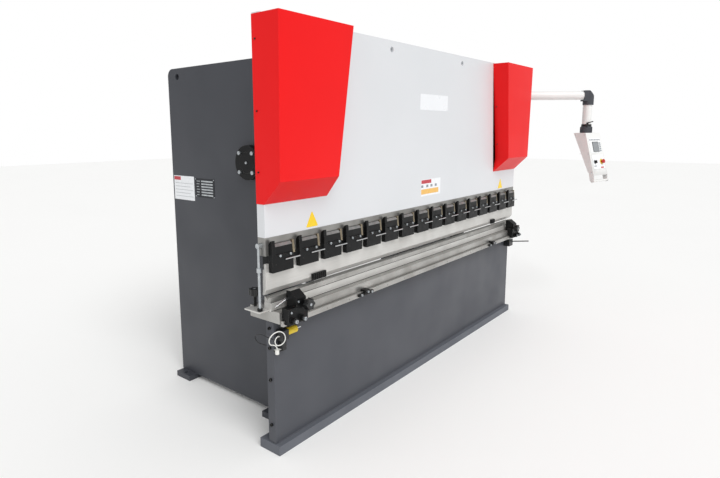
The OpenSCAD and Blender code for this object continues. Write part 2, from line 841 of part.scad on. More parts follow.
// A link carries the swing arm's pin in a slotted eye and hangs on a pin in the ram's bracket
module ram_link() {
    slot_r = pin_d / 2 + 1;
    slot_half = 7;
    difference() {
        union() {
            bar_x(38, link_x, link_x + link_t, pin_y, link_low_z);
            slab(link_x, link_x + link_t, pin_y - 30, pin_y + 30, link_low_z, pin_z);
            bar_x(44, link_x, link_x + link_t, pin_y, pin_z);
        }
        bar_x(16 + fit, link_x - 1, link_x + link_t + 1, pin_y, link_low_z);
        for (s = [-1, 1]) bar_x(slot_r, link_x - 1, link_x + link_t + 1, pin_y + s * slot_half, pin_z);
        slab(link_x - 1, link_x + link_t + 1, pin_y - slot_half, pin_y + slot_half,
            pin_z - slot_r, pin_z + slot_r);
    }
    for (x = [link_x - 21, link_x + link_t + 3]) difference() {
        slab(x, x + 18, ram_t, pin_y + 34, link_low_z - 40, link_low_z + 40);
        bar_x(16 + fit, x - 1, x + 19, pin_y, link_low_z);
    }
    bar_x(16, link_x - 24, link_x + link_t + 24, pin_y, link_low_z);
}

module ram_links() {
    color("slategray") both() ram_link();
}

module stroke_rod() {
    color("silver") {
        translate([rod_x, rod_y, table_top + 4]) cylinder(r = rod_r, h = ram_low + 50 - table_top - 4);
        translate([rod_x, rod_y, table_top + 212]) cylinder(r = 12, h = 24);
        bar_x(14, rod_x - 8, -ram_len / 2 - gap, rod_y, ram_low + 52);
    }
}

module rod_guide() {
    color("silver") difference() {
        union() {
            slab(rod_x - 20, -tool_len / 2 - 1, rod_y - 18, post_y + 18, table_top, guide_z);
            slab(rod_x, guide_x, die_rail_w + 2, post_y + 18, table_top, guide_z);
            translate([rod_x, rod_y, guide_z]) cylinder(r = 14, h = 14);
            translate([post_x, post_y, guide_z]) cylinder(r = 8, h = table_top + 60 - guide_z);
        }
        translate([rod_x, rod_y, table_top - 1]) cylinder(r = rod_r + fit, h = 40);
    }
}

module star_knob() {
    color("#202022") translate([post_x, post_y, table_top + 60 + gap]) {
        cylinder(r = 11, h = 12);
        translate([0, 0, 10]) cylinder(r = 25, h = 34);
        for (a = [10 : 60 : 310]) translate([24 * cos(a), 24 * sin(a), 10]) cylinder(r = 8, h = 34);
    }
}

// A sliding bracket on the front rail
module bracket(x) {
    base_low = rail_z + 10;
    along_x(x - 60, 145) polygon([
        [-rail_front - 30, base_low],
        [-rail_front - slide_gap, base_low],
        [-rail_front - slide_gap, rail_z + rail_h + slide_gap],
        [-table_front - slide_gap, rail_z + rail_h + slide_gap],
        [-table_front - slide_gap, table_top + 20],
        [-rail_front - 30, table_top + 20]]);
    along_x(x, 72) polygon([
        [-rail_front - 30, table_top + 20],
        [-table_front - slide_gap, table_top + 20],
        [-table_front - slide_gap, table_top + slide_gap],
        [-20, table_top + slide_gap],
        [-20, table_top + 98],
        [-table_front - 4, table_top + 98],
        [-rail_front - 30, table_top + 64]]);
    for (dx = [-30, 34]) {
        bar_y(17, x + dx, -rail_front - 52, -rail_front - 30, base_low + 22);
    }
}

module left_bracket() {
    color("#202022") bracket(bracket_x);
}

module right_bracket() {
    color("#202022") mirror([1, 0, 0]) bracket(bracket_x);
}

module bracket_knob(x) {
    bar_y(12, x, -rail_front - 44, -rail_front - 30.3, knob_z);
    bar_y(26, x, -rail_front - 74, -rail_front - 44, knob_z);
    for (a = [0 : 60 : 300]) {
        bar_y(8, x + 25 * cos(a), -rail_front - 74, -rail_front - 44, knob_z + 25 * sin(a));
    }
}

module left_bracket_knob() {
    color("#202022") bracket_knob(bracket_x + knob_x);
}

module right_bracket_knob() {
    color("#202022") mirror([1, 0, 0]) bracket_knob(bracket_x + knob_x);
}

module bracket_lever(x) {
    bar_x(8, x - 26, x - gap, lever_y, lever_z);
    translate([x - 18, lever_y, lever_z]) rotate([0, -112, -8]) cylinder(r = 5, h = 74);
}

module left_bracket_lever() {
    color("silver") bracket_lever(bracket_x);
}

module right_bracket_lever() {
    color("silver") mirror([1, 0, 0]) bracket_lever(bracket_x);
}

module limit_switch() {
    color("gold") {
        difference() {
            bar_x(20, sensor_x, sensor_x + 70, sensor_y, sensor_z);
            bar_x(5 + fit, sensor_x + 40, sensor_x + 71, sensor_y, sensor_z);
        }
        slab(sensor_x - 52, sensor_x, sensor_y - 20, bench_front, sensor_z - 34, sensor_z + 20);
        slab(sensor_x - 40, sensor_x - 10, sensor_y - 10, bench_front, sensor_z - 92, sensor_z - 34);
        translate([sensor_x - 70, sensor_y, sensor_z - 102]) cylinder(r = 11, h = 22);
        slab(sensor_x - 72, sensor_x - 40, sensor_y - 4, bench_front, sensor_z - 94, sensor_z - 84);
    }
    color("#202022") {
        slab(feeler_x - 60, feeler_x + 20, sensor_y - 30, bench_front, sensor_z - 28, sensor_z + 34);
        translate([feeler_x, sensor_y - 29, sensor_z + 12]) rotate([82, 0, 0]) cylinder(r = 5, h = 160);
    }
}

module switch_plunger() {
    color("silver") bar_x(5, sensor_x + 52, sensor_x + 108, sensor_y, sensor_z);
}

// Route of the white cable: out of the switch, round one open loop and down into its ferrule
WHITE_ROUTE = [[-1532.3, -18, 672], [-1548, -20, 676], [-1562, -20, 668], [-1566, -19, 650], [-1556, -22, 632],
    [-1536, -30, 630], [-1518, -38, 644], [-1514, -42, 668], [-1528, -43, 696], [-1556, -40, 712],
    [-1590, -34, 708], [-1612, -28, 688], [-1612, -24, 664], [-1596, -20, 646], [-1576, -17, 638],
    [-1560, -16, 628], [-1551.5, -16, 615], [-1550, -16, 602.3]];

// Route of the black cable: round the end of the bench and back to its rear face
BLACK_ROUTE = [[-1532.3, -8, 654], [-1548, -6, 656], [-1562, 6, 660], [-1567, 34, 664], [-1567, 70, 668],
    [-1566, 106, 664], [-1562, 136, 650], [-1556, 148, 628], [-1546, 140, 606], [-1532, 118, 594],
    [-1518, 92, 590], [-1512, 76, 590], [-1510, 66.5, 590]];

// Centre of the smooth curve through four points
function curve(a, b, c, d, t) = 0.5 * (2 * b + (c - a) * t + (2 * a - 5 * b + 4 * c - d) * t * t
    + (3 * b - a - 3 * c + d) * t * t * t);
function smooth(p, steps) = [for (i = [0 : len(p) - 2], s = [0 : steps - 1])
    curve(p[max(i - 1, 0)], p[i], p[i + 1], p[min(i + 2, len(p) - 1)], s / steps), p[len(p) - 1]];
function unit(v) = v / norm(v);
function heading(p, i) = unit(p[min(i + 1, len(p) - 1)] - p[max(i - 1, 0)]);
function carried(u, h) = unit(u - (u * h) * h);
function sides(p, i, u) = i == len(p) ? [] : concat([carried(u, heading(p, i))],
    sides(p, i + 1, carried(u, heading(p, i))));

// A cable of radius r swept along a smooth route
module cable(route, r) {
    n = 8;
    p = smooth(route, 3);
    u = sides(p, 0, [0.1, 0.2, 1]);
    points = [for (i = [0 : len(p) - 1], k = [0 : n - 1])
        p[i] + r * (cos(360 * k / n) * u[i] + sin(360 * k / n) * cross(heading(p, i), u[i]))];
    walls = [for (i = [0 : len(p) - 2], k = [0 : n - 1])
        [i * n + k, (i + 1) * n + k, (i + 1) * n + (k + 1) % n, i * n + (k + 1) % n]];
    caps = [[for (k = [0 : n - 1]) k], [for (k = [n - 1 : -1 : 0]) (len(p) - 1) * n + k]];
    polyhedron(points = points, faces = concat(walls, caps), convexity = 4);
}

module sensor_cables() {
    color("white") cable(WHITE_ROUTE, 3);
    color("#202022") cable(BLACK_ROUTE, 2.5);
}

left_side_plate();
right_side_plate();
bench_plate();
foot_bar();
cross_beams();
table_plate();
front_rail();
die_rail();
die();
ram_guides();
cylinders();
torsion_bearings();
oil_tank();
pump_motor();
valve_block();
pressure_pipes();
gauge_supports();
gauge_motor();
gauge_belt();
cabinet_box();
arm_bracket();
limit_switch();
sensor_cables();
rod_guide();
left_gauge_screw();
right_gauge_screw();
gauge_beam();
left_finger();
right_finger();
cabinet_door();
door_handle();
main_switch();
pendant_arm();
arm_elbow();
clamp_lever();
pendant_collar();
pendant_housing();
pendant_screen();
emergency_stop();
mode_selector();
ram_plate();
left_cover();
right_cover();
clamp_bodies();
clamp_plates();
clamp_bolts();
clamp_wedges();
punch();
piston_rods();
torsion_shaft();
ram_links();
stroke_rod();
star_knob();
left_bracket();
right_bracket();
left_bracket_knob();
right_bracket_knob();
left_bracket_lever();
right_bracket_lever();
switch_plunger();
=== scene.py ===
"""Visual model of a hydraulic torsion-shaft press brake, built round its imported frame.

Origin on the floor, at mid-length, under the ram's front face. +X right, +Y to the rear, +Z up, in metres.
"""

import json
import logging
import math
from dataclasses import dataclass, field
from enum import Enum

import bmesh
import bpy
from mathutils import Matrix, Vector

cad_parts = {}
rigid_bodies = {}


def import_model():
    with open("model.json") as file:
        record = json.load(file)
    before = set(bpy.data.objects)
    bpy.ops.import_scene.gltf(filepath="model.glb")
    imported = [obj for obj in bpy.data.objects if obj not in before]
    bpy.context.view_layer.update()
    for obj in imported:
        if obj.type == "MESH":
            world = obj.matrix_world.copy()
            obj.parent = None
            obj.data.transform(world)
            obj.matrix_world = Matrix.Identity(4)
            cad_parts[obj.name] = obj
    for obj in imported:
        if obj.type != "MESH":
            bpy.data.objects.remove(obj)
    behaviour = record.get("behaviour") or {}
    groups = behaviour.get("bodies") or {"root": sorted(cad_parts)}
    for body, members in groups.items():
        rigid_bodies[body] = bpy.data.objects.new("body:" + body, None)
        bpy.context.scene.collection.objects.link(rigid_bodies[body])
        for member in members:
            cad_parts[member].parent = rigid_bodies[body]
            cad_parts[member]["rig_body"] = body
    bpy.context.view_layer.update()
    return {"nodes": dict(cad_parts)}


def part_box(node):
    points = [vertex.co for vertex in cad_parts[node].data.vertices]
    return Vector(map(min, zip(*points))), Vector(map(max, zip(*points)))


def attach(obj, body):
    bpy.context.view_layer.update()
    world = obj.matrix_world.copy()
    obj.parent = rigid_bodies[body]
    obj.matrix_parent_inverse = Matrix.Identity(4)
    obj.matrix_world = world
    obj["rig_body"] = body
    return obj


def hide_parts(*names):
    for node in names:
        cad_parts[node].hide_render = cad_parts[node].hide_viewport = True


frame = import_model()
LOG = logging.getLogger("press_brake")

MM = 0.001
SIDES = (-1, 1)
# How deep an added piece sits in the face under it, so that no gap shows.
SEAT = 0.0002
Point = tuple[float, float, float]


def linear(hex_colour: str) -> tuple[float, float, float, float]:
    """Turn an sRGB hex colour into linear values.

    Args:
        hex_colour: six hex digits, with or without a leading hash.

    Returns:
        Linear red, green, blue and an alpha of 1.
    """
    digits = hex_colour.lstrip("#")
    channels = [int(digits[i : i + 2], 16) / 255 for i in (0, 2, 4)]
    low = [c / 12.92 if c <= 0.04045 else ((c + 0.055) / 1.055) ** 2.4 for c in channels]
    return (low[0], low[1], low[2], 1.0)


def add_node(tree: bpy.types.NodeTree, kind: str, inputs: dict | None = None, **settings: object) -> bpy.types.Node:
    """Add one shader node with its settings and links.

    Args:
        tree: the node tree that gets the node.
        kind: the node's type name after "ShaderNode".
        inputs: socket name or index, with a value or the output socket that feeds it.
        settings: attributes of the node itself.

    Returns:
        The new node.
    """
    made = tree.nodes.new("ShaderNode" + kind)
    for name, value in settings.items():
        setattr(made, name, value)
    for key, value in (inputs or {}).items():
        if isinstance(value, bpy.types.NodeSocket):
            tree.links.new(value, made.inputs[key])
        else:
            made.inputs[key].default_value = value
    return made


class Lay(Enum):
    """How far a surface's fine marks are drawn out along X, Y and Z."""

    EVEN = (1.0, 1.0, 1.0)
    ALONG_X = (90.0, 1.0, 1.0)
    ALONG_Y = (1.0, 90.0, 1.0)
    ALONG_Z = (1.0, 1.0, 90.0)


@dataclass(frozen=True)
class Finish:
    """A surface finish, made as one procedural material on Object coordinates.

    Attributes:
        name: what the surface is.
        colour: its main colour.
        shade: the colour of its patches and streaks.
        metallic: 1 for bare metal.
        roughness: the middle of its roughness.
        scuff: how far the roughness wanders from the middle.
        grain_mm: size of the fine texture.
        grain_depth_mm: height of the fine texture.
        lay: direction that the fine texture is drawn out in.
        streak: share of the shade in the fine texture.
        mottle_mm: size of the patches.
        mottle: share of the shade in the patches.
        worn: colour of the worn edges, or nothing.
        worn_mm: width of the worn edges.
        coat: weight of a clear coat.
        gloss: strength of the mirror-like reflection, 0.5 for a clean smooth surface.
    """

    name: str
    colour: str
    shade: str
    metallic: float = 0.0
    roughness: float = 0.5
    scuff: float = 0.08
    grain_mm: float = 1.5
    grain_depth_mm: float = 0.05
    lay: Lay = Lay.EVEN
    streak: float = 0.1
    mottle_mm: float = 200.0
    mottle: float = 0.25
    worn: str = ""
    worn_mm: float = 1.5
    coat: float = 0.0
    gloss: float = 0.5

    def material(self) -> bpy.types.Material:
        """Return the finish's material, which is made once."""
        return bpy.data.materials.get(self.name) or self._build()

    def _build(self) -> bpy.types.Material:
        """Build the node tree: patches, drawn-out grain, worn edges and a bump.

        Returns:
            The new material.
        """
        made = bpy.data.materials.new(self.name)
        made.use_nodes = True
        tree = made.node_tree
        shader = tree.nodes["Principled BSDF"]
        place = add_node(tree, "TexCoord").outputs["Object"]
        grain_scale = tuple(1 / (self.grain_mm * MM * s) for s in self.lay.value)
        drawn = add_node(tree, "Mapping", {"Vector": place, "Scale": grain_scale})
        grain = add_node(tree, "TexNoise", {"Vector": drawn.outputs[0], "Scale": 1.0, "Detail": 3.0}).outputs[0]
        patch_inputs = {"Vector": place, "Scale": 1 / (self.mottle_mm * MM), "Detail": 2.0, "Roughness": 0.5}
        patch = add_node(tree, "TexNoise", patch_inputs).outputs[0]
        spread = {0: patch, 1: 0.3, 2: 0.72, 3: 0.0, 4: self.mottle}
        patch_share = add_node(tree, "MapRange", spread, interpolation_type="SMOOTHSTEP").outputs[0]
        grain_share = add_node(tree, "MapRange", {0: grain, 1: 0.35, 2: 0.7, 3: 0.0, 4: self.streak}).outputs[0]
        tone = add_node(tree, "Mix", {0: patch_share, 6: linear(self.colour), 7: linear(self.shade)}, data_type="RGBA")
        tone = add_node(tree, "Mix", {0: grain_share, 6: tone.outputs[2], 7: linear(self.shade)}, data_type="RGBA")
        rough = add_node(
            tree, "MapRange", {0: patch, 1: 0.3, 2: 0.7, 3: self.roughness - self.scuff, 4: self.roughness + self.scuff}
        )
        if self.worn:
            edge = self._edge(tree, patch)
            tone = add_node(tree, "Mix", {0: edge, 6: tone.outputs[2], 7: linear(self.worn)}, data_type="RGBA")
        bump = add_node(tree, "Bump", {"Strength": 1.0, "Distance": self.grain_depth_mm * MM, "Height": grain})
        shader.inputs["Metallic"].default_value = self.metallic
        shader.inputs["Coat Weight"].default_value = self.coat
        shader.inputs["Coat Roughness"].default_value = 0.12
        shader.inputs["Specular IOR Level"].default_value = self.gloss
        tree.links.new(tone.outputs[2], shader.inputs["Base Color"])
        tree.links.new(rough.outputs[0], shader.inputs["Roughness"])
        tree.links.new(bump.outputs[0], shader.inputs["Normal"])
        return made

    def _edge(self, tree: bpy.types.NodeTree, patch: bpy.types.NodeSocket) -> bpy.types.NodeSocket:
        """Find the edges, and break them up with the patches.

        Args:
            tree: the material's tree.
            patch: noise that thins the wear here and there.

        Returns:
            A socket that is 1 on a worn edge and 0 elsewhere.
        """
        rounded = add_node(tree, "Bevel", {"Radius": self.worn_mm * MM}, samples=4)
        facing = add_node(tree, "NewGeometry").outputs["Normal"]
        dot = add_node(tree, "VectorMath", {0: rounded.outputs[0], 1: facing}, operation="DOT_PRODUCT")
        edge = add_node(tree, "MapRange", {0: dot.outputs["Value"], 1: 0.99, 2: 0.9, 3: 0.0, 4: 1.0}).outputs[0]
        thin = add_node(tree, "MapRange", {0: patch, 1: 0.35, 2: 0.6, 3: 0.25, 4: 1.0}).outputs[0]
        return add_node(tree, "Math", {0: edge, 1: thin}, operation="MULTIPLY").outputs[0]


# Two-pack machine paint sprayed on thick plate: satin, with a fine orange peel and faint handling marks.
FRAME_PAINT = Finish("FramePaint", "42444A", "3A3C42", roughness=0.42, grain_mm=2.5, grain_depth_mm=0.06,
                     mottle_mm=420, mottle=0.4, streak=0.12, worn="62656C", worn_mm=1.2, coat=0.05, gloss=0.35)
# The same paint on the bench, rolled on bare plate, made paler all over as painted light for its lit front.
LIT_BENCH_PAINT = Finish("LitBenchPaint", "4E5056", "46484E", roughness=0.46, grain_mm=2.5, grain_depth_mm=0.06,
                     mottle_mm=380, mottle=0.4, streak=0.12, worn="70727A", worn_mm=1.2, gloss=0.35)
# The bench paint on the foot bar, made paler still as painted light on the low bar.
LIT_FOOT_PAINT = Finish("LitFootPaint", "64676E", "5A5D64", roughness=0.55, grain_mm=2.5, grain_depth_mm=0.06,
                    mottle_mm=260, mottle=0.5, streak=0.15, worn="82858C", worn_mm=1.2, gloss=0.3)
# Smooth grey-white enamel on the ram: nearly even, with a soft sheen.
RAM_PAINT = Finish("RamEnamel", "DADCDF", "D2D5D8", roughness=0.4, scuff=0.06, grain_mm=3.0, grain_depth_mm=0.03,
                   mottle_mm=600, mottle=0.35, streak=0.06, coat=0.1)
# Red powder coat on folded sheet: fine orange peel under a soft shine.
COVER_PAINT = Finish("RedPowderCoat", "EC1215", "DE0D10", roughness=0.38, scuff=0.04, grain_mm=2.2,
                     grain_depth_mm=0.04, mottle_mm=500, mottle=0.3, streak=0.06, worn="F5514E", worn_mm=1.0, gloss=0.2)
# Surface-ground steel: long scratches along the bending line and dull oily patches.
GROUND_STEEL = Finish("GroundSteel", "BEBDBA", "908E89", metallic=0.8, roughness=0.36, scuff=0.12, grain_mm=1.4,
                      grain_depth_mm=0.02, lay=Lay.ALONG_X, streak=0.45, mottle_mm=160, mottle=0.45,
                      worn="E2DFDA", worn_mm=1.6)
# Bare plate at the ram's foot: rolled steel, ground once and gone dull under oil.
BARE_PLATE = Finish("BarePlate", "A3A29F", "75736F", metallic=0.8, roughness=0.4, scuff=0.1, grain_mm=1.6,
                    grain_depth_mm=0.02, lay=Lay.ALONG_X, streak=0.4, mottle_mm=180, mottle=0.5, worn="C4C2BE",
                    worn_mm=1.4)
# Milled steel on the punch, die rail and fingers: paler, with a thin film of oil.
MILLED_STEEL = Finish("MilledSteel", "DAD9D6", "B4B2AD", metallic=0.5, roughness=0.42, scuff=0.1, grain_mm=1.8,
                      grain_depth_mm=0.03, lay=Lay.ALONG_X, streak=0.3, mottle_mm=240, mottle=0.4,
                      worn="E8E5E0", worn_mm=1.4)
# Black oxide on milled steel: near black, satin, rubbed to grey on its edges.
BLACK_OXIDE = Finish("BlackOxide", "0F1011", "1A1A1B", metallic=0.2, roughness=0.42, scuff=0.12, grain_mm=0.9,
                     grain_depth_mm=0.03, streak=0.25, mottle_mm=35, mottle=0.6, worn="7C7A76", worn_mm=0.9,
                     gloss=0.25)
# Black oxide made pale grey on the clamps' chamfered top faces, which face up and forward.
PALE_CHAMFER_OXIDE = Finish("PaleChamferOxide", "8B8B8A", "686867", metallic=0.2, roughness=0.38, scuff=0.1, grain_mm=1.0,
                      grain_depth_mm=0.02, lay=Lay.ALONG_X, streak=0.35, mottle_mm=30, mottle=0.6, worn="A9A6A1",
                      worn_mm=0.9)
# Hard chrome: bright and nearly mirror-smooth, with fine polishing marks.
CHROME = Finish("HardChrome", "DADBDC", "B9BBBE", metallic=1.0, roughness=0.16, scuff=0.05, grain_mm=0.8,
                grain_depth_mm=0.004, streak=0.2, mottle_mm=60, mottle=0.3)
# Zinc-plated steel: pale, slightly blue and cloudy.
ZINC = Finish("ZincPlate", "C6CACD", "9DA3A8", metallic=0.9, roughness=0.34, scuff=0.1, grain_mm=1.0,
              grain_depth_mm=0.01, streak=0.25, mottle_mm=25, mottle=0.5)
# Milled brass gone dull and brownish, with feed marks up its height.
BRASS = Finish("MilledBrass", "A89C86", "857A68", metallic=0.9, roughness=0.4, scuff=0.1, grain_mm=0.8,
               grain_depth_mm=0.02, lay=Lay.ALONG_Z, streak=0.4, mottle_mm=30, mottle=0.5)
# Blue enamel on a ribbed motor casting: glossy over a coarse cast skin.
MOTOR_ENAMEL = Finish("MotorEnamel", "22466E", "193550", roughness=0.35, grain_mm=3.0, grain_depth_mm=0.15,
                      mottle_mm=70, mottle=0.4, worn="4F739B", worn_mm=1.2, coat=0.3)
# Pale grey paint on the back gauge's steel supports.
GAUGE_PAINT = Finish("GaugePaint", "8C9199", "7A7F87", roughness=0.45, grain_mm=2.0, grain_depth_mm=0.05,
                     mottle_mm=120, mottle=0.4, worn="B4B7BC", worn_mm=1.2)
# Clear-anodised aluminium extrusion: silky, with drawn lines along its length.
ANODISED = Finish("AnodisedAluminium", "BDC0C3", "A2A6AA", metallic=0.9, roughness=0.36, scuff=0.05, grain_mm=0.7,
                  grain_depth_mm=0.01, lay=Lay.ALONG_X, streak=0.3, mottle_mm=90, mottle=0.3)
# Moulded rubber: soft black with a chalky bloom.
RUBBER = Finish("MouldedRubber", "17171A", "262628", roughness=0.72, grain_mm=0.8, grain_depth_mm=0.04,
                streak=0.3, mottle_mm=20, mottle=0.5)
# Pale grey powder coat on the electrical cabinet, with its usual fine texture.
CABINET_PAINT = Finish("CabinetPowderCoat", "C9CCCF", "BCC0C4", roughness=0.5, grain_mm=1.1, grain_depth_mm=0.09,
                       streak=0.25, mottle_mm=300, mottle=0.3, worn="DDDFE1", worn_mm=1.0)
# Glass-filled nylon: black with a fine moulded grain.
BLACK_NYLON = Finish("BlackNylon", "161718", "242526", roughness=0.34, scuff=0.08, grain_mm=0.7,
                     grain_depth_mm=0.02, streak=0.2, mottle_mm=15, mottle=0.4)
# Red moulded button plastic, glossy.
SWITCH_RED = Finish("SwitchRed", "C4161C", "A90F16", roughness=0.24, scuff=0.04, grain_mm=0.8,
                    grain_depth_mm=0.01, mottle_mm=20, mottle=0.3, coat=0.4)
# Yellow enamel on the limit switch, the ring under the stop button and the main switch's plate.
YELLOW_ENAMEL = Finish("YellowEnamel", "E2C52A", "C9AA1C", roughness=0.36, grain_mm=1.0, grain_depth_mm=0.03,
                       mottle_mm=18, mottle=0.4, worn="F0DE7A", worn_mm=0.8)
# White powder coat on the control box and its tubes.
PENDANT_PAINT = Finish("WhitePowderCoat", "ECECEA", "DFDFDE", roughness=0.4, grain_mm=1.2, grain_depth_mm=0.04,
                       streak=0.12, mottle_mm=140, mottle=0.3, coat=0.1)
# Dark grey coating on die-cast joints: matt and finely rough.
CAST_GREY = Finish("CoatedCasting", "43454B", "35373C", roughness=0.55, grain_mm=1.0, grain_depth_mm=0.08,
                   streak=0.3, mottle_mm=25, mottle=0.4, worn="6A6C72", worn_mm=1.4)
# Printed polyester film over the control panel.
PANEL_FILM = Finish("PanelFilm", "F4F5F6", "E9EBED", roughness=0.38, grain_mm=0.6, grain_depth_mm=0.01,
                    mottle_mm=60, mottle=0.3)
# Tinted display window, smooth and faintly reflective.
DISPLAY = Finish("DisplayWindow", "8E9296", "7C8084", roughness=0.14, scuff=0.03, grain_mm=5.0,
                 grain_depth_mm=0.002, streak=0.1, mottle_mm=40, mottle=0.3, coat=0.6)
# Soft keys of the panel, mid grey silicone.
KEY_GREY = Finish("KeySilicone", "90969B", "7F858A", roughness=0.55, grain_mm=0.6, grain_depth_mm=0.01,
                  mottle_mm=12, mottle=0.3)
# White and black cable jackets of soft vinyl.
WHITE_JACKET = Finish("WhiteJacket", "E6E6E2", "D2D2CC", roughness=0.45, grain_mm=1.0, grain_depth_mm=0.02,
                      mottle_mm=15, mottle=0.4)
BLACK_JACKET = Finish("BlackJacket", "222325", "303133", roughness=0.5, grain_mm=1.0, grain_depth_mm=0.02,
                      mottle_mm=15, mottle=0.4)
# Printed vinyl labels: white, yellow, dull red, amber and two greys, smooth and evenly glossy.
VINYL_WHITE = Finish("WhiteVinyl", "EEF0F3", "E4E6E9", roughness=0.3, grain_mm=1.5, grain_depth_mm=0.01)
VINYL_YELLOW = Finish("YellowVinyl", "F2CE1B", "E0B914", roughness=0.3, grain_mm=1.5, grain_depth_mm=0.01)
VINYL_RED = Finish("RedVinyl", "C23A45", "AF303B", roughness=0.3, grain_mm=1.5, grain_depth_mm=0.01)
VINYL_AMBER = Finish("OrangeVinyl", "EDBB62", "DFAC55", roughness=0.3, grain_mm=1.5, grain_depth_mm=0.01)
VINYL_GREY = Finish("GreyVinyl", "8B9096", "7B8086", roughness=0.35, grain_mm=1.5, grain_depth_mm=0.01)
VINYL_PALE = Finish("PaleGreyVinyl", "C9CCCE", "BDC0C3", roughness=0.35, grain_mm=1.5, grain_depth_mm=0.01)
# Black-anodised rating plate with fine brushed lines.
PLATE_DARK = Finish("AnodisedPlate", "2B2D31", "383A3F", metallic=0.6, roughness=0.35, grain_mm=0.6,
                    grain_depth_mm=0.01, lay=Lay.ALONG_Y, streak=0.3, mottle_mm=60, mottle=0.3)


def turn_to(axis: Point) -> Matrix:
    """Return the rotation that carries +Z to an axis."""
    return Vector(axis).to_track_quat("Z", "Y").to_matrix().to_4x4()


class Builder:
    """Collects one piece's mesh from bmesh operators, with a finish for each face."""

    def __init__(self, *finishes: Finish) -> None:
        """Start an empty mesh.

        Args:
            finishes: the piece's finishes, in the order of their slot numbers.
        """
        self.bm = bmesh.new()
        self.finishes = finishes

    def _mark(self, faces: list, slot: int) -> None:
        """Give new faces their finish."""
        for face in faces:
            face.material_index = slot

    def block(self, low: Point, high: Point, edge: float = 0.0, slot: int = 0, place: Matrix | None = None) -> None:
        """Add a box with broken edges.

        Args:
            low: its lowest corner.
            high: its highest corner.
            edge: width of its broken edges.
            slot: number of its finish.
            place: where the box goes, if it is turned.
        """
        size = [b - a for a, b in zip(low, high)]
        middle = [(a + b) / 2 for a, b in zip(low, high)]
        before = set(self.bm.faces)
        verts = bmesh.ops.create_cube(self.bm, size=1.0)["verts"]
        bmesh.ops.transform(self.bm, matrix=Matrix.Translation(middle) @ Matrix.Diagonal((*size, 1.0)), verts=verts)
        if edge:
            edges = list({e for v in verts for e in v.link_edges})
            bmesh.ops.bevel(self.bm, geom=edges, offset=edge, segments=2, profile=0.5, affect="EDGES", material=-1)
        faces = [f for f in self.bm.faces if f not in before]
        if place is not None:
            bmesh.ops.transform(self.bm, matrix=place, verts=list({v for f in faces for v in f.verts}))
        self._mark(faces, slot)

    def turned(self, profile: list, at: Point, axis: Point, steps: int = 32, slot: int = 0) -> None:
        """Add a turned shape.

        Args:
            profile: radius and height of each point, from one end to the other.
            at: where height 0 is.
            axis: direction of the heights.
            steps: number of facets round it.
            slot: number of its finish.
        """
        before = set(self.bm.faces)
        points = [self.bm.verts.new((max(r, 1e-6), 0.0, h)) for r, h in profile]
        edges = [self.bm.edges.new(pair) for pair in zip(points, points[1:])]
        bmesh.ops.spin(self.bm, geom=points + edges, cent=(0, 0, 0), axis=(0, 0, 1), dvec=(0, 0, 0),
                       angle=math.tau, steps=steps, use_merge=True, use_duplicate=False)
        faces = [f for f in self.bm.faces if f not in before]
        verts = list({v for f in faces for v in f.verts})
        bmesh.ops.remove_doubles(self.bm, verts=verts, dist=5e-6)
        faces = [f for f in self.bm.faces if f not in before]
        bmesh.ops.recalc_face_normals(self.bm, faces=faces)
        verts = list({v for f in faces for v in f.verts})
        bmesh.ops.transform(self.bm, matrix=Matrix.Translation(at) @ turn_to(axis), verts=verts)
        self._mark(faces, slot)

    def screw(self, at: Point, axis: Point, diameter: float, slot: int = 0, steps: int = 16) -> None:
        """Add a socket screw's head.

        Args:
            at: middle of its seat.
            axis: direction it stands out in.
            diameter: thread diameter.
            slot: number of its finish.
            steps: number of facets round it.
        """
        r, h = diameter * 0.75, diameter * 0.8
        chamfer = diameter * 0.08
        socket = diameter * 0.42
        profile = [(r, -0.0004), (r, h - chamfer), (r - chamfer, h), (socket, h), (socket, h * 0.45), (0, h * 0.4)]
        self.turned(profile, at, axis, steps, slot)

    def disc_nut(self, at: Point, axis: Point, across: float, height: float, slot: int = 0) -> None:
        """Add a hexagon nut with a chamfered top.

        Args:
            at: middle of its seat.
            axis: direction it stands out in.
            across: width over its corners.
            height: its height.
            slot: number of its finish.
        """
        r = across / 2
        self.turned([(0, 0), (r, 0), (r, height * 0.85), (r * 0.88, height), (0, height)], at, axis, 6, slot)

    def weld(self, start: Point, end: Point, radius: float, slot: int = 0) -> None:
        """Add a weld bead with its ripples.

        Args:
            start: one end of the bead.
            end: its other end.
            radius: how far the bead stands out.
            slot: number of its finish.
        """
        ripple = 0.012
        run = Vector(end) - Vector(start)
        steps = max(2, round(run.length / ripple) * 2)
        before = set(self.bm.faces)
        ring = bmesh.ops.create_circle(self.bm, cap_ends=False, segments=8, radius=radius)["verts"]
        bmesh.ops.transform(self.bm, matrix=Matrix.Translation(start) @ turn_to(tuple(run)), verts=ring)
        edges = list({e for v in ring for e in v.link_edges})
        bmesh.ops.spin(self.bm, geom=ring + edges, cent=(0, 0, 0), axis=(0, 0, 1), dvec=run / steps,
                       angle=0.0, steps=steps, use_merge=False, use_duplicate=False)
        faces = [f for f in self.bm.faces if f not in before]
        unit = run.normalized()
        for vert in {v for f in faces for v in f.verts}:
            along = (vert.co - Vector(start)).dot(unit)
            line = Vector(start) + unit * along
            swell = 0.85 + 0.15 * math.cos(math.pi * round(along / (run.length / steps)))
            vert.co = line + (vert.co - line) * swell
        rims = [e for e in self.bm.edges if e.is_boundary and all(f not in before for f in e.link_faces)]
        bmesh.ops.holes_fill(self.bm, edges=rims, sides=8)
        faces = [f for f in self.bm.faces if f not in before]
        bmesh.ops.recalc_face_normals(self.bm, faces=faces)
        self._mark(faces, slot)

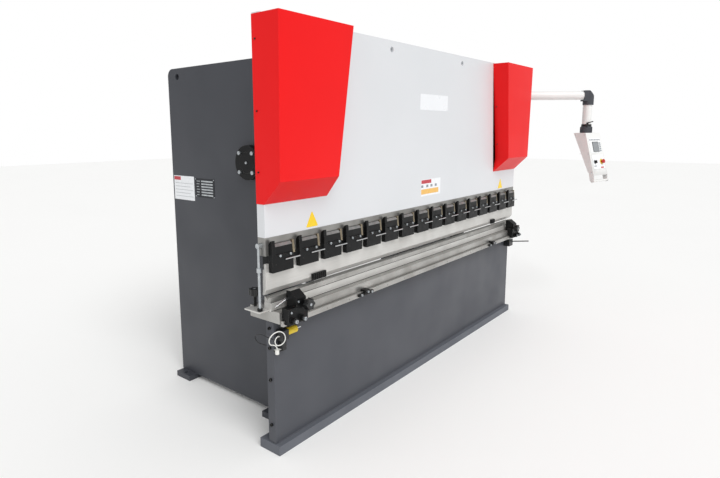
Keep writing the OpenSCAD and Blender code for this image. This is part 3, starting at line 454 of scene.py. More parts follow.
    def panel(self, corners: list, out: Point, thick: float, round_r: float = 0.0, slot: int = 0) -> None:
        """Add a flat plate from its outline.

        Args:
            corners: its outline's points, on the face it lies on.
            out: direction it stands out in.
            thick: its thickness.
            round_r: radius of its corners.
            slot: number of its finish.
        """
        before = set(self.bm.faces)
        face = self.bm.faces.new([self.bm.verts.new(c) for c in corners])
        if round_r:
            bmesh.ops.bevel(self.bm, geom=list(face.verts), offset=round_r, segments=4, profile=0.5,
                            affect="VERTICES", material=-1)
        flat = [f for f in self.bm.faces if f not in before]
        grown = bmesh.ops.extrude_face_region(self.bm, geom=flat)["geom"]
        verts = [g for g in grown if isinstance(g, bmesh.types.BMVert)]
        bmesh.ops.translate(self.bm, vec=Vector(out).normalized() * thick, verts=verts)
        faces = [f for f in self.bm.faces if f not in before]
        bmesh.ops.recalc_face_normals(self.bm, faces=faces)
        self._mark(faces, slot)

    def copy_of(self, node: str, edge: float, least: float = 5.0) -> None:
        """Add a merged copy of a CAD node, its long sharp edges broken.

        Args:
            node: the CAD node.
            edge: width of the broken edges.
            least: shortest edge that is broken, as a multiple of that width.
        """
        self.bm.from_mesh(frame["nodes"][node].data)
        bmesh.ops.remove_doubles(self.bm, verts=self.bm.verts, dist=2e-5)
        bmesh.ops.dissolve_limit(self.bm, angle_limit=math.radians(0.6), verts=self.bm.verts, edges=self.bm.edges)
        self._mark(list(self.bm.faces), 0)
        if edge:
            self.break_edges(edge, least)

    def break_edges(self, edge: float, least: float = 5.0) -> None:
        """Break the long sharp edges.

        Args:
            edge: width of the broken edges.
            least: shortest edge that is broken, as a multiple of that width.
        """
        sharp = [e for e in self.bm.edges if e.is_manifold and e.is_convex
                 and e.calc_face_angle(0.0) > math.radians(35) and e.calc_length() > least * edge]
        bmesh.ops.bevel(self.bm, geom=sharp, offset=edge, segments=2, profile=0.5, affect="EDGES",
                        clamp_overlap=True, material=-1)

    def piece(self, name: str, body: str, replaced: tuple = ()) -> bpy.types.Object:
        """Finish the mesh as a piece that rides on a body.

        Args:
            name: the piece's name.
            body: the CAD body that it rides on.
            replaced: CAD nodes that it stands for.

        Returns:
            The new object.
        """
        for face in self.bm.faces:
            face.smooth = True
        for edge in self.bm.edges:
            edge.smooth = not (edge.is_manifold and edge.calc_face_angle(0.0) > math.radians(42))
        mesh = bpy.data.meshes.new(name)
        self.bm.to_mesh(mesh)
        self.bm.free()
        for finish in self.finishes:
            mesh.materials.append(finish.material())
        made = bpy.data.objects.new(name, mesh)
        bpy.context.scene.collection.objects.link(made)
        made.modifiers.new("FlatFaces", "WEIGHTED_NORMAL").keep_sharp = True
        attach(made, body)
        if replaced:
            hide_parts(*replaced)
        LOG.info("%s on %s: %d faces", name, body, len(mesh.polygons))
        return made


def body_of_node(node: str) -> str:
    """Return the name of the CAD body that a node rides on."""
    return frame["nodes"][node]["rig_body"]


def dress(node: str, edge: float, finish: Finish) -> bpy.types.Object:
    """Replace a CAD node with a copy that has broken edges and a finish.

    Args:
        node: the CAD node.
        edge: width of its broken edges.
        finish: its finish.

    Returns:
        The new object.
    """
    made = Builder(finish)
    made.copy_of(node, edge)
    return made.piece(node + "_dressed", body_of_node(node), (node,))


@dataclass
class Studio:
    """Camera, lights and floor.

    Attributes:
        eye: the camera's place.
        yaw_deg: its heading from +Y towards +X.
        pitch_deg: how far it looks up.
        roll_deg: how far it is rolled.
        lens_mm: focal length on a sensor 36 mm wide.
        shift: the small shift that the framing needs.
        floor_size: side of the floor.
        ambient: strength of the surround as a lamp.
        key_from: direction that the key light comes from.
        key_strength: its irradiance.
        key_spread_deg: how wide it looks.
    """

    eye: Point = (-3.4100, -1.9768, 1.7366)
    yaw_deg: float = 50.154
    pitch_deg: float = -8.945
    roll_deg: float = -0.341
    lens_mm: float = 26.903
    shift: tuple[float, float] = (0.0333, -0.0319)
    floor_size: float = 60.0
    ambient: float = 0.57
    key_from: Point = (-0.30, -0.62, 0.72)
    key_strength: float = 1.95
    key_spread_deg: float = 40.0

    def camera(self) -> None:
        """Make the camera at the given place and heading."""
        yaw, pitch, roll = (math.radians(a) for a in (self.yaw_deg, self.pitch_deg, self.roll_deg))
        ahead = Vector((math.sin(yaw) * math.cos(pitch), math.cos(yaw) * math.cos(pitch), math.sin(pitch)))
        right = Vector((math.cos(yaw), -math.sin(yaw), 0.0))
        up = right.cross(ahead)
        right_rolled = right * math.cos(roll) + up * math.sin(roll)
        up_rolled = up * math.cos(roll) - right * math.sin(roll)
        lens = bpy.data.cameras.new("Camera")
        lens.sensor_width = 36.0
        lens.lens = self.lens_mm
        lens.shift_x, lens.shift_y = self.shift
        lens.clip_end = 200.0
        made = bpy.data.objects.new("Camera", lens)
        turn = Matrix((right_rolled, up_rolled, -ahead)).transposed().to_4x4()
        made.matrix_world = Matrix.Translation(self.eye) @ turn
        bpy.context.scene.collection.objects.link(made)
        bpy.context.scene.camera = made

    def sun(self, name: str, from_side: Point, strength: float, spread_deg: float) -> None:
        """Add a soft sun.

        Args:
            name: its name.
            from_side: direction that the light comes from.
            strength: its irradiance.
            spread_deg: how wide the source looks, which softens its shadows.
        """
        light = bpy.data.lights.new(name, "SUN")
        light.energy = strength
        light.angle = math.radians(spread_deg)
        made = bpy.data.objects.new(name, light)
        made.rotation_euler = Vector(from_side).to_track_quat("Z", "Y").to_euler()
        bpy.context.scene.collection.objects.link(made)

    def sky(self) -> None:
        """Make an even white surround, dimmer as a lamp than as a backdrop."""
        world = bpy.data.worlds.new("Studio")
        bpy.context.scene.world = world
        world.use_nodes = True
        tree = world.node_tree
        seen = add_node(tree, "LightPath").outputs["Is Camera Ray"]
        strength = add_node(tree, "MapRange", {0: seen, 1: 0.0, 2: 1.0, 3: self.ambient, 4: 1.0})
        back = tree.nodes["Background"]
        back.inputs["Color"].default_value = linear("FFFFFF")
        tree.links.new(strength.outputs[0], back.inputs["Strength"])

    def build(self) -> None:
        """Make the lights, the world and the floor."""
        scene = bpy.context.scene
        scene.view_settings.view_transform = "Standard"
        self.sky()
        self.sun("Key", self.key_from, self.key_strength, self.key_spread_deg)
        bm = bmesh.new()
        bmesh.ops.create_grid(bm, x_segments=1, y_segments=1, size=self.floor_size / 2)
        mesh = bpy.data.meshes.new("Floor")
        bm.to_mesh(mesh)
        bm.free()
        floor = bpy.data.objects.new("Floor", mesh)
        # Pale painted studio floor, almost white.
        paint = Finish("StudioFloor", "FCFCFB", "F8F8F7", roughness=0.7, grain_mm=8, grain_depth_mm=0.01,
                       mottle_mm=1500, mottle=0.2, streak=0.02)
        mesh.materials.append(paint.material())
        scene.collection.objects.link(floor)
        LOG.info("studio ready")


@dataclass
class SensorCables:
    """The limit switch's two cables.

    Attributes:
        white: route of the white cable, out of the switch and down into its ferrule.
        black: route of the black cable, round the bench's end to its rear face.
        white_d: diameter of the white cable.
        black_d: diameter of the black cable.
    """

    white: list = field(default_factory=lambda: [
        (-1532.3, -18, 672), (-1548, -20, 676), (-1562, -20, 668), (-1566, -19, 650), (-1556, -22, 632),
        (-1536, -30, 630), (-1518, -38, 644), (-1514, -42, 668), (-1528, -43, 696), (-1556, -40, 712),
        (-1590, -34, 708), (-1612, -28, 688), (-1612, -24, 664), (-1596, -20, 646), (-1576, -17, 638),
        (-1560, -16, 628), (-1551.5, -16, 615), (-1550, -16, 602.3)])
    black: list = field(default_factory=lambda: [
        (-1532.3, -8, 654), (-1548, -6, 656), (-1562, 6, 660), (-1567, 34, 664), (-1567, 70, 668),
        (-1566, 106, 664), (-1562, 136, 650), (-1556, 148, 628), (-1546, 140, 606), (-1532, 118, 594),
        (-1518, 92, 590), (-1512, 76, 590), (-1510, 66.5, 590)])
    white_d: float = 0.006
    black_d: float = 0.005

    @staticmethod
    def smooth(route: list, steps: int = 6) -> list[Vector]:
        """Draw a smooth curve through a route's points.

        Args:
            route: the points, in millimetres.
            steps: points on each stretch.

        Returns:
            Points of the curve, in metres.
        """
        points = [Vector(p) * MM for p in route]
        line = []
        for i in range(len(points) - 1):
            a, b, c, d = (points[max(0, min(len(points) - 1, k))] for k in (i - 1, i, i + 1, i + 2))
            for step in range(steps):
                t = step / steps
                line.append(0.5 * (2 * b + (c - a) * t + (2 * a - 5 * b + 4 * c - d) * t * t
                                   + (3 * b - a - 3 * c + d) * t * t * t))
        return [*line, points[-1]]

    def cable(self, name: str, route: list, diameter: float, finish: Finish) -> None:
        """Lay one cable.

        Args:
            name: the piece's name.
            route: the points it passes through, in millimetres.
            diameter: its diameter.
            finish: its jacket.
        """
        line = self.smooth(route)
        curve = bpy.data.curves.new(name, "CURVE")
        curve.dimensions = "3D"
        curve.bevel_depth = diameter / 2
        curve.bevel_resolution = 3
        curve.use_fill_caps = True
        spline = curve.splines.new("POLY")
        spline.points.add(len(line) - 1)
        for point, place in zip(spline.points, line):
            point.co = (*place, 1.0)
        curve.materials.append(finish.material())
        made = bpy.data.objects.new(name, curve)
        bpy.context.scene.collection.objects.link(made)
        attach(made, "frame")
        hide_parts("sensor_cables")

    def build(self) -> None:
        """Lay both cables."""
        self.cable("white_sensor_cable", self.white, self.white_d, WHITE_JACKET)
        self.cable("black_sensor_cable", self.black, self.black_d, BLACK_JACKET)


@dataclass
class MachineFrame:
    """Side plates, bench, foot bar, beams and the plates riveted to them.

    Attributes:
        edge: width of the plates' broken edges.
        weld_r: how far the weld beads stand out.
        rivet_r: radius of the rating plate's rivets.
        label_y: the white label's two ends along Y.
        label_z: its two ends along Z.
        plate_y: the rating plate's two ends along Y.
        plate_z: its two ends along Z.
        screw_z: heights of the screws in the bench's end faces.
        screw_d: their thread diameter.
    """

    edge: float = 0.002
    weld_r: float = 0.005
    rivet_r: float = 0.004
    label_y: tuple[float, float] = (1.029, 1.255)
    label_z: tuple[float, float] = (1.283, 1.445)
    plate_y: tuple[float, float] = (0.814, 1.017)
    plate_z: tuple[float, float] = (1.313, 1.437)
    screw_z: tuple[float, ...] = (0.16, 0.42, 0.60, 0.71)
    screw_d: float = 0.012

    def build(self) -> None:
        """Build the frame's pieces."""
        for node in ("left_side_plate", "right_side_plate", "ram_guides", "cross_beams", "arm_bracket"):
            dress(node, self.edge, FRAME_PAINT)
        # The bench and the foot bar take paler copies of the frame's paint: painted light.
        dress("bench_plate", self.edge, LIT_BENCH_PAINT)
        dress("foot_bar", self.edge, LIT_FOOT_PAINT)
        self.welds()
        self.side_labels()
        self.bench_screws()

    @staticmethod
    def outer_face() -> float:
        """Return how far the side plates' outer faces are from mid-length, where the cabinet is mounted."""
        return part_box("cabinet_box")[0][0]

    def welds(self) -> None:
        """Add the beads between bench, foot bar and side plates."""
        made = Builder(LIT_BENCH_PAINT)
        low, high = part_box("bench_plate")
        foot_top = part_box("foot_bar")[1][2]
        table_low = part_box("table_plate")[0][2]
        for y in (low[1], high[1]):
            made.weld((low[0] + 0.02, y, foot_top), (high[0] - 0.02, y, foot_top), self.weld_r)
        for side, node in zip(SIDES, ("left_side_plate", "right_side_plate")):
            plate_low, plate_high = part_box(node)
            inner = side * min(abs(plate_low[0]), abs(plate_high[0]))
            for x in (inner, side * self.outer_face()):
                made.weld((x, high[1], foot_top + 0.01), (x, high[1], table_low - 0.01), self.weld_r)
        made.piece("weld_beads", "frame")

    def side_labels(self) -> None:
        """Add the blank label and the rating plate to the left side plate."""
        face = -self.outer_face()
        made = Builder(VINYL_WHITE, VINYL_RED, VINYL_PALE, PLATE_DARK, ZINC)
        self.card(made, face, self.label_y, self.label_z, 0.0006, 0)
        self.card(made, face, (1.178, 1.252), (1.416, 1.440), 0.0009, 1)
        for row in range(5):
            z = 1.398 - row * 0.022
            self.card(made, face, (1.042 + 0.03 * (row % 2), 1.242), (z - 0.005, z), 0.0009, 2)
        self.card(made, face, self.plate_y, self.plate_z, 0.0012, 3)
        for row in range(6):
            z = 1.424 - row * 0.018
            self.card(made, face, (0.830, 0.950), (z - 0.009, z), 0.0016, 4)
            self.card(made, face, (0.964 + 0.006 * (row % 3), 1.000), (z - 0.007, z - 0.003), 0.0016, 4)
        for y in (self.plate_y[0] + 0.007, self.plate_y[1] - 0.007):
            for z in (self.plate_z[0] + 0.006, self.plate_z[1] - 0.006):
                made.turned([(self.rivet_r, 0), (self.rivet_r * 0.8, 0.0015), (0, 0.0022)],
                            (face - 0.001, y, z), (-1, 0, 0), 10, 4)
        made.piece("side_plates_labels", "frame")

    @staticmethod
    def card(made: Builder, x: float, y: tuple, z: tuple, thick: float, slot: int) -> None:
        """Add a flat card to the left side plate's outer face.

        Args:
            made: the mesh it is added to.
            x: the face it lies on.
            y: its two ends along Y.
            z: its two ends along Z.
            thick: its thickness.
            slot: number of its finish.
        """
        corners = [(x, y[0], z[0]), (x, y[1], z[0]), (x, y[1], z[1]), (x, y[0], z[1])]
        made.panel(corners, (-1, 0, 0), thick, 0.002 if thick < 0.001 and slot == 0 else 0.0, slot)

    def bench_screws(self) -> None:
        """Add the screws in the bench's end faces."""
        made = Builder(BLACK_OXIDE)
        low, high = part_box("bench_plate")
        for side, x in zip(SIDES, (low[0], high[0])):
            for z in self.screw_z:
                made.screw((x, (low[1] + high[1]) / 2, z), (side, 0, 0), self.screw_d)
        made.piece("bench_end_screws", "frame")


@dataclass
class BendingTools:
    """Table, rails, die and punch with their small fittings.

    Attributes:
        edge: width of the ground parts' broken edges.
        screw_gap: distance between the front rail's screws.
        sunk: how far those screws are sunk, so that the brackets slide over them.
        clear_x: stretches of the rail that have no screws.
        fitting_x: ends of the small black clamps on the rail.
        grip_x: ends of the punch's safety grips.
        grip_z: their foot and top.
        grip_ribs: number of ribs on a grip.
        seam: how far a black strip of painted shade stands out of its joint.
    """

    edge: float = 0.0012
    screw_gap: float = 0.2
    sunk: float = 0.00465
    clear_x: tuple = ((-1.56, -1.36), (-0.94, -0.74), (0.91, 1.10), (1.36, 1.56))
    fitting_x: tuple = ((-0.916, -0.770), (0.935, 1.080))
    grip_x: tuple = ((-1.259, -1.141), (1.105, 1.175))
    grip_z: tuple[float, float] = (0.912, 0.952)
    grip_ribs: int = 7
    seam: float = 0.0006

    def build(self) -> None:
        """Build the table's and the tools' pieces."""
        dress("table_plate", self.edge * 1.5, GROUND_STEEL)
        dress("front_rail", self.edge, GROUND_STEEL)
        dress("die_rail", self.edge, MILLED_STEEL)
        dress("die", 0.0006, GROUND_STEEL)
        dress("punch", 0.0005, MILLED_STEEL)
        self.joint_shade_strips()
        self.grips()
        self.fittings()
        self.rail_screws()

    def joint_shade_strips(self) -> None:
        """Fill the joints between die, die rail, table and front rail with black strips: painted shade of their gaps.
        """
        made = Builder(RUBBER)
        for node in ("die", "die_rail"):
            low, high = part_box(node)
            made.block((low[0] + MM, low[1] - self.seam, low[2] - self.seam),
                       (high[0] - MM, high[1] + self.seam, low[2] + 0.0022), 0.0004)
        low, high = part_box("front_rail")
        made.block((low[0] + MM, high[1] - 0.0012, high[2] - 0.003),
                   (high[0] - MM, high[1] + 0.0004, high[2] + 0.0005), 0.0003)
        made.piece("table_joint_shade_strips", "frame")

    def grips(self) -> None:
        """Add the two knurled safety grips on the punch."""
        made = Builder(BLACK_OXIDE)
        (z0, z1), front, rib_r, end = self.grip_z, -0.010, 0.0045, 0.004
        rib = z1 - z0 - 2 * end
        for x0, x1 in self.grip_x:
            made.block((x0, front, z0), (x1, 0.0018, z1), 0.003)
            for i in range(self.grip_ribs):
                x = x0 + (x1 - x0) * (i + 0.5) / self.grip_ribs
                made.turned([(0, 0), (rib_r, 0), (rib_r, rib), (0, rib)], (x, front, z0 + end), (0, 0, 1), 10)
        made.piece("punch_grips", "ram")

    def fittings(self) -> None:
        """Add the small black clamps on the front rail."""
        made = Builder(BLACK_OXIDE, ZINC)
        low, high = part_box("front_rail")
        for x0, x1 in self.fitting_x:
            middle = (x0 + x1) / 2
            made.block((x0, low[1] - 0.012, low[2] + 0.006), (x1, low[1] + 0.0004, high[2] - 0.006), 0.002)
            made.block((middle - 0.022, low[1] - 0.020, high[2] - 0.016),
                       (middle + 0.022, high[1] - 0.002, high[2] + 0.012), 0.002)
            for x in (x0 + 0.022, x1 - 0.022):
                made.screw((x, low[1] - 0.012, (low[2] + high[2]) / 2), (0, -1, 0), 0.010, 1)
            made.screw((middle, low[1] - 0.02, high[2] - 0.002), (0, -1, 0), 0.010, 1)
        made.piece("rail_fittings", "frame")

    def rail_screws(self) -> None:
        """Add the screws that hold the front rail."""
        made = Builder(BLACK_OXIDE)
        low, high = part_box("front_rail")
        z = (low[2] + high[2]) / 2 - 0.002
        count = int((high[0] - low[0]) / self.screw_gap)
        for i in range(count):
            x = -(count - 1) * self.screw_gap / 2 + i * self.screw_gap
            if all(not x0 < x < x1 for x0, x1 in self.clear_x):
                made.screw((x, low[1] + self.sunk, z), (0, -1, 0), 0.006, 0, 10)
        made.piece("rail_screws", "frame")


@dataclass
class Ram:
    """Ram plate, covers and what is fixed to them.

    Attributes:
        paint_line: height above which the ram plate is painted.
        edge: width of the ram plate's broken edges.
        fold: radius of the covers' folds.
        cover_foot: a cover's width at the top of its lower flap.
        cover_top: its width at its top edge.
        flap: height of its lower flap.
        screw_d: thread diameter of the covers' screws.
        outer_up: heights of the outer screws over a cover's foot.
        inner_up: heights of the inner screws over a cover's foot.
        plaque: the blank plaque's ends along X and Z.
        card_x: the banded label's ends along X.
        card_z: its ends along Z.
        mark_x: places of the four marks on it.
        triangle_x: places of the two blank triangles.
        triangle_z: height of their feet.
        triangle_half: half their width.
    """

    paint_line: float = 1.207
    edge: float = 0.0015
    fold: float = 0.0025
    cover_foot: float = 0.443
    cover_top: float = 0.558
    flap: float = 0.119
    screw_d: float = 0.006
    outer_up: tuple[float, ...] = (0.16, 0.46, 0.80)
    inner_up: tuple[float, ...] = (0.24, 0.56)
    plaque: tuple = ((-0.125, 0.265), (1.880, 1.990))
    card_x: tuple[float, float] = (-0.098, 0.182)
    card_z: tuple[float, float] = (1.272, 1.392)
    mark_x: tuple[float, ...] = (-0.080, -0.010, 0.050, 0.112)
    triangle_x: tuple[float, float] = (-1.248, 1.286)
    triangle_z: float = 1.218
    triangle_half: float = 0.049

    def build(self) -> None:
        """Build the ram's pieces."""
        self.plate()
        for node in ("left_cover", "right_cover"):
            dress(node, self.fold, COVER_PAINT)
        self.cover_screws()
        self.labels()

    def plate(self) -> None:
        """Copy the ram plate and leave its lower strip bare."""
        made = Builder(RAM_PAINT, BARE_PLATE)
        made.copy_of("ram_plate", self.edge)
        everything = [*made.bm.verts, *made.bm.edges, *made.bm.faces]
        bmesh.ops.bisect_plane(made.bm, geom=everything, plane_co=(0, 0, self.paint_line), plane_no=(0, 0, 1))
        for face in made.bm.faces:
            face.material_index = 1 if face.calc_center_median().z < self.paint_line else 0
        made.piece("ram_plate_dressed", "ram", ("ram_plate",))

    def cover_screws(self) -> None:
        """Add the screws on the covers' inner and outer side panels."""
        made = Builder(BLACK_OXIDE)
        for side, node in zip(SIDES, ("left_cover", "right_cover")):
            low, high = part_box(node)
            outer = side * max(abs(low[0]), abs(high[0]))
            for up in self.outer_up:
                made.screw((outer, 0.030, low[2] + up), (side, 0, 0), self.screw_d)
            lean = (self.cover_top - self.cover_foot) / (high[2] - low[2] - self.flap)
            for up in self.inner_up:
                inner = side * (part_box("ram_plate")[1][0] - self.cover_foot - (up - self.flap) * lean)
                made.screw((inner, -0.022, low[2] + up), (-side, 0, 0), self.screw_d)
        made.piece("cover_screws", "ram")

    def labels(self) -> None:
        """Add the blank plaque, the banded label and the two blank triangles."""
        made = Builder(VINYL_WHITE, VINYL_RED, VINYL_AMBER, VINYL_YELLOW, VINYL_GREY)
        self.card(made, *self.plaque, 0.0008, 0, 0.008)
        self.card(made, self.card_x, self.card_z, 0.0006, 0, 0.004)
        self.card(made, (-0.092, 0.046), (1.362, 1.388), 0.0009, 1)
        self.card(made, (-0.094, 0.152), (1.286, 1.322), 0.0009, 2)
        for x in self.mark_x:
            self.card(made, (x - 0.014, x + 0.014), (1.334, 1.352), 0.0009, 4)
        z, half = self.triangle_z, self.triangle_half
        for x in self.triangle_x:
            corners = [(x - half, 0, z), (x + half, 0, z), (x, 0, z + half * 1.8)]
            made.panel(corners, (0, -1, 0), 0.0008, 0.008, 3)
        made.piece("ram_labels", "ram")

    @staticmethod
    def card(made: Builder, x: tuple, z: tuple, thick: float, slot: int, round_r: float = 0.0) -> None:
        """Add a flat card to the ram's front face.

        Args:
            made: the mesh it is added to.
            x: its two ends along X.
            z: its two ends along Z.
            thick: its thickness.
            slot: number of its finish.
            round_r: radius of its corners.
        """
        corners = [(x[0], 0, z[0]), (x[1], 0, z[0]), (x[1], 0, z[1]), (x[0], 0, z[1])]
        made.panel(corners, (0, -1, 0), thick, round_r, slot)


@dataclass
class PunchClamps:
    """The row of punch clamps with their rods.

    Attributes:
        count: number of clamps.
        pitch: distance between two clamps.
        width: width of a clamp.
        rod_r: radius of a clamp's chromed rod.
        rod_z: height of the rods.
        chamfer: width of the chamfer on a front plate's top edge.
        fin_up: how far a plate's fin stands over the plate's own top.
        fin_out: how far the fin stands in front of that top.
        bolt_x: places of a clamp's two bolts from its left edge.
        bolt_d: their thread diameter.
        rod_x: ends of a clamp's rod from its left edge.
        holder_x: ends of the rod's holder from the rod's left end.
        holder_half: half the holder's height.
        stud: place of the plate's small stud, from its left edge and from the floor.
        stud_r: its radius.
    """

    count: int = 16
    pitch: float = 0.2
    width: float = 0.158
    rod_r: float = 0.004
    rod_z: float = 1.085
    chamfer: float = 0.014
    fin_up: float = 0.020
    fin_out: float = 0.007
    bolt_x: tuple[float, float] = (0.052, 0.127)
    bolt_d: float = 0.0095
    rod_x: tuple[float, float] = (0.087, 0.196)
    holder_x: tuple[float, float] = (0.030, 0.042)
    holder_half: float = 0.0055
    stud: tuple[float, float] = (0.026, 1.064)
    stud_r: float = 0.004

    def at(self, i: int) -> float:
        """Return the left edge of clamp number i."""
        return -(self.count - 1) * self.pitch / 2 - self.width / 2 + i * self.pitch

    def build(self) -> None:
        """Build the clamps' pieces."""
        dress("clamp_bodies", 0.0012, BLACK_OXIDE)
        self.plates()
        dress("clamp_wedges", 0.0008, BRASS)
        self.bolts()
        self.rods()

    def plates(self) -> None:
        """Copy the clamps' front plates, their top front edges chamfered and made pale grey."""
        made = Builder(BLACK_OXIDE, PALE_CHAMFER_OXIDE)
        made.copy_of("clamp_plates", 0.0)
        low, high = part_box("clamp_plates")
        top, front = high[2] - self.fin_up, low[1] + self.fin_out
        rims = [e for e in made.bm.edges if all(abs(v.co.z - top) < MM and abs(v.co.y - front) < MM for v in e.verts)]
        bmesh.ops.bevel(made.bm, geom=rims, offset=self.chamfer, segments=1, profile=0.5, affect="EDGES", material=-1)
        made.bm.normal_update()
        for face in made.bm.faces:
            slopes = face.normal.z > 0.25 and face.normal.y < -0.25 and face.calc_area() > 0.0005
            face.material_index = int(slopes)
        made.break_edges(0.0015)
        made.piece("clamp_plates_dressed", "ram", ("clamp_plates",))

    def bolts(self) -> None:
        """Turn the clamps' bolt heads, with their sockets."""
        made = Builder(ZINC)
        low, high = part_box("clamp_bolts")
        z, seat = (low[2] + high[2]) / 2, high[1]
        for i in range(self.count):
            for dx in self.bolt_x:
                made.screw((self.at(i) + dx, seat, z), (0, -1, 0), self.bolt_d, 0, 12)
        made.piece("clamp_bolts_dressed", "ram", ("clamp_bolts",))

    def rods(self) -> None:
        """Add each clamp's chromed release rod and its holder."""
        made = Builder(CHROME, BLACK_OXIDE)
        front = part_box("clamp_plates")[0][1]
        for i in range(self.count):
            x0, x1 = (self.at(i) + dx for dx in self.rod_x)
            r = self.rod_r
            profile = [(0, 0), (r * 0.7, 0), (r, 0.001), (r, x1 - x0 - 0.001), (r * 0.7, x1 - x0), (0, x1 - x0)]
            made.turned(profile, (x0, front - r - 0.001, self.rod_z), (1, 0, 0), 12)
            made.block((x0 + self.holder_x[0], front - r - 0.001, self.rod_z - self.holder_half),
                       (x0 + self.holder_x[1], front + 0.0004, self.rod_z + self.holder_half), 0.0008, 1)
            made.turned([(self.stud_r, 0), (self.stud_r, 0.0012), (0, 0.0012)],
                        (self.at(i) + self.stud[0], front + 0.0004, self.stud[1]), (0, -1, 0), 10, 1)
        made.piece("clamp_rods", "ram")


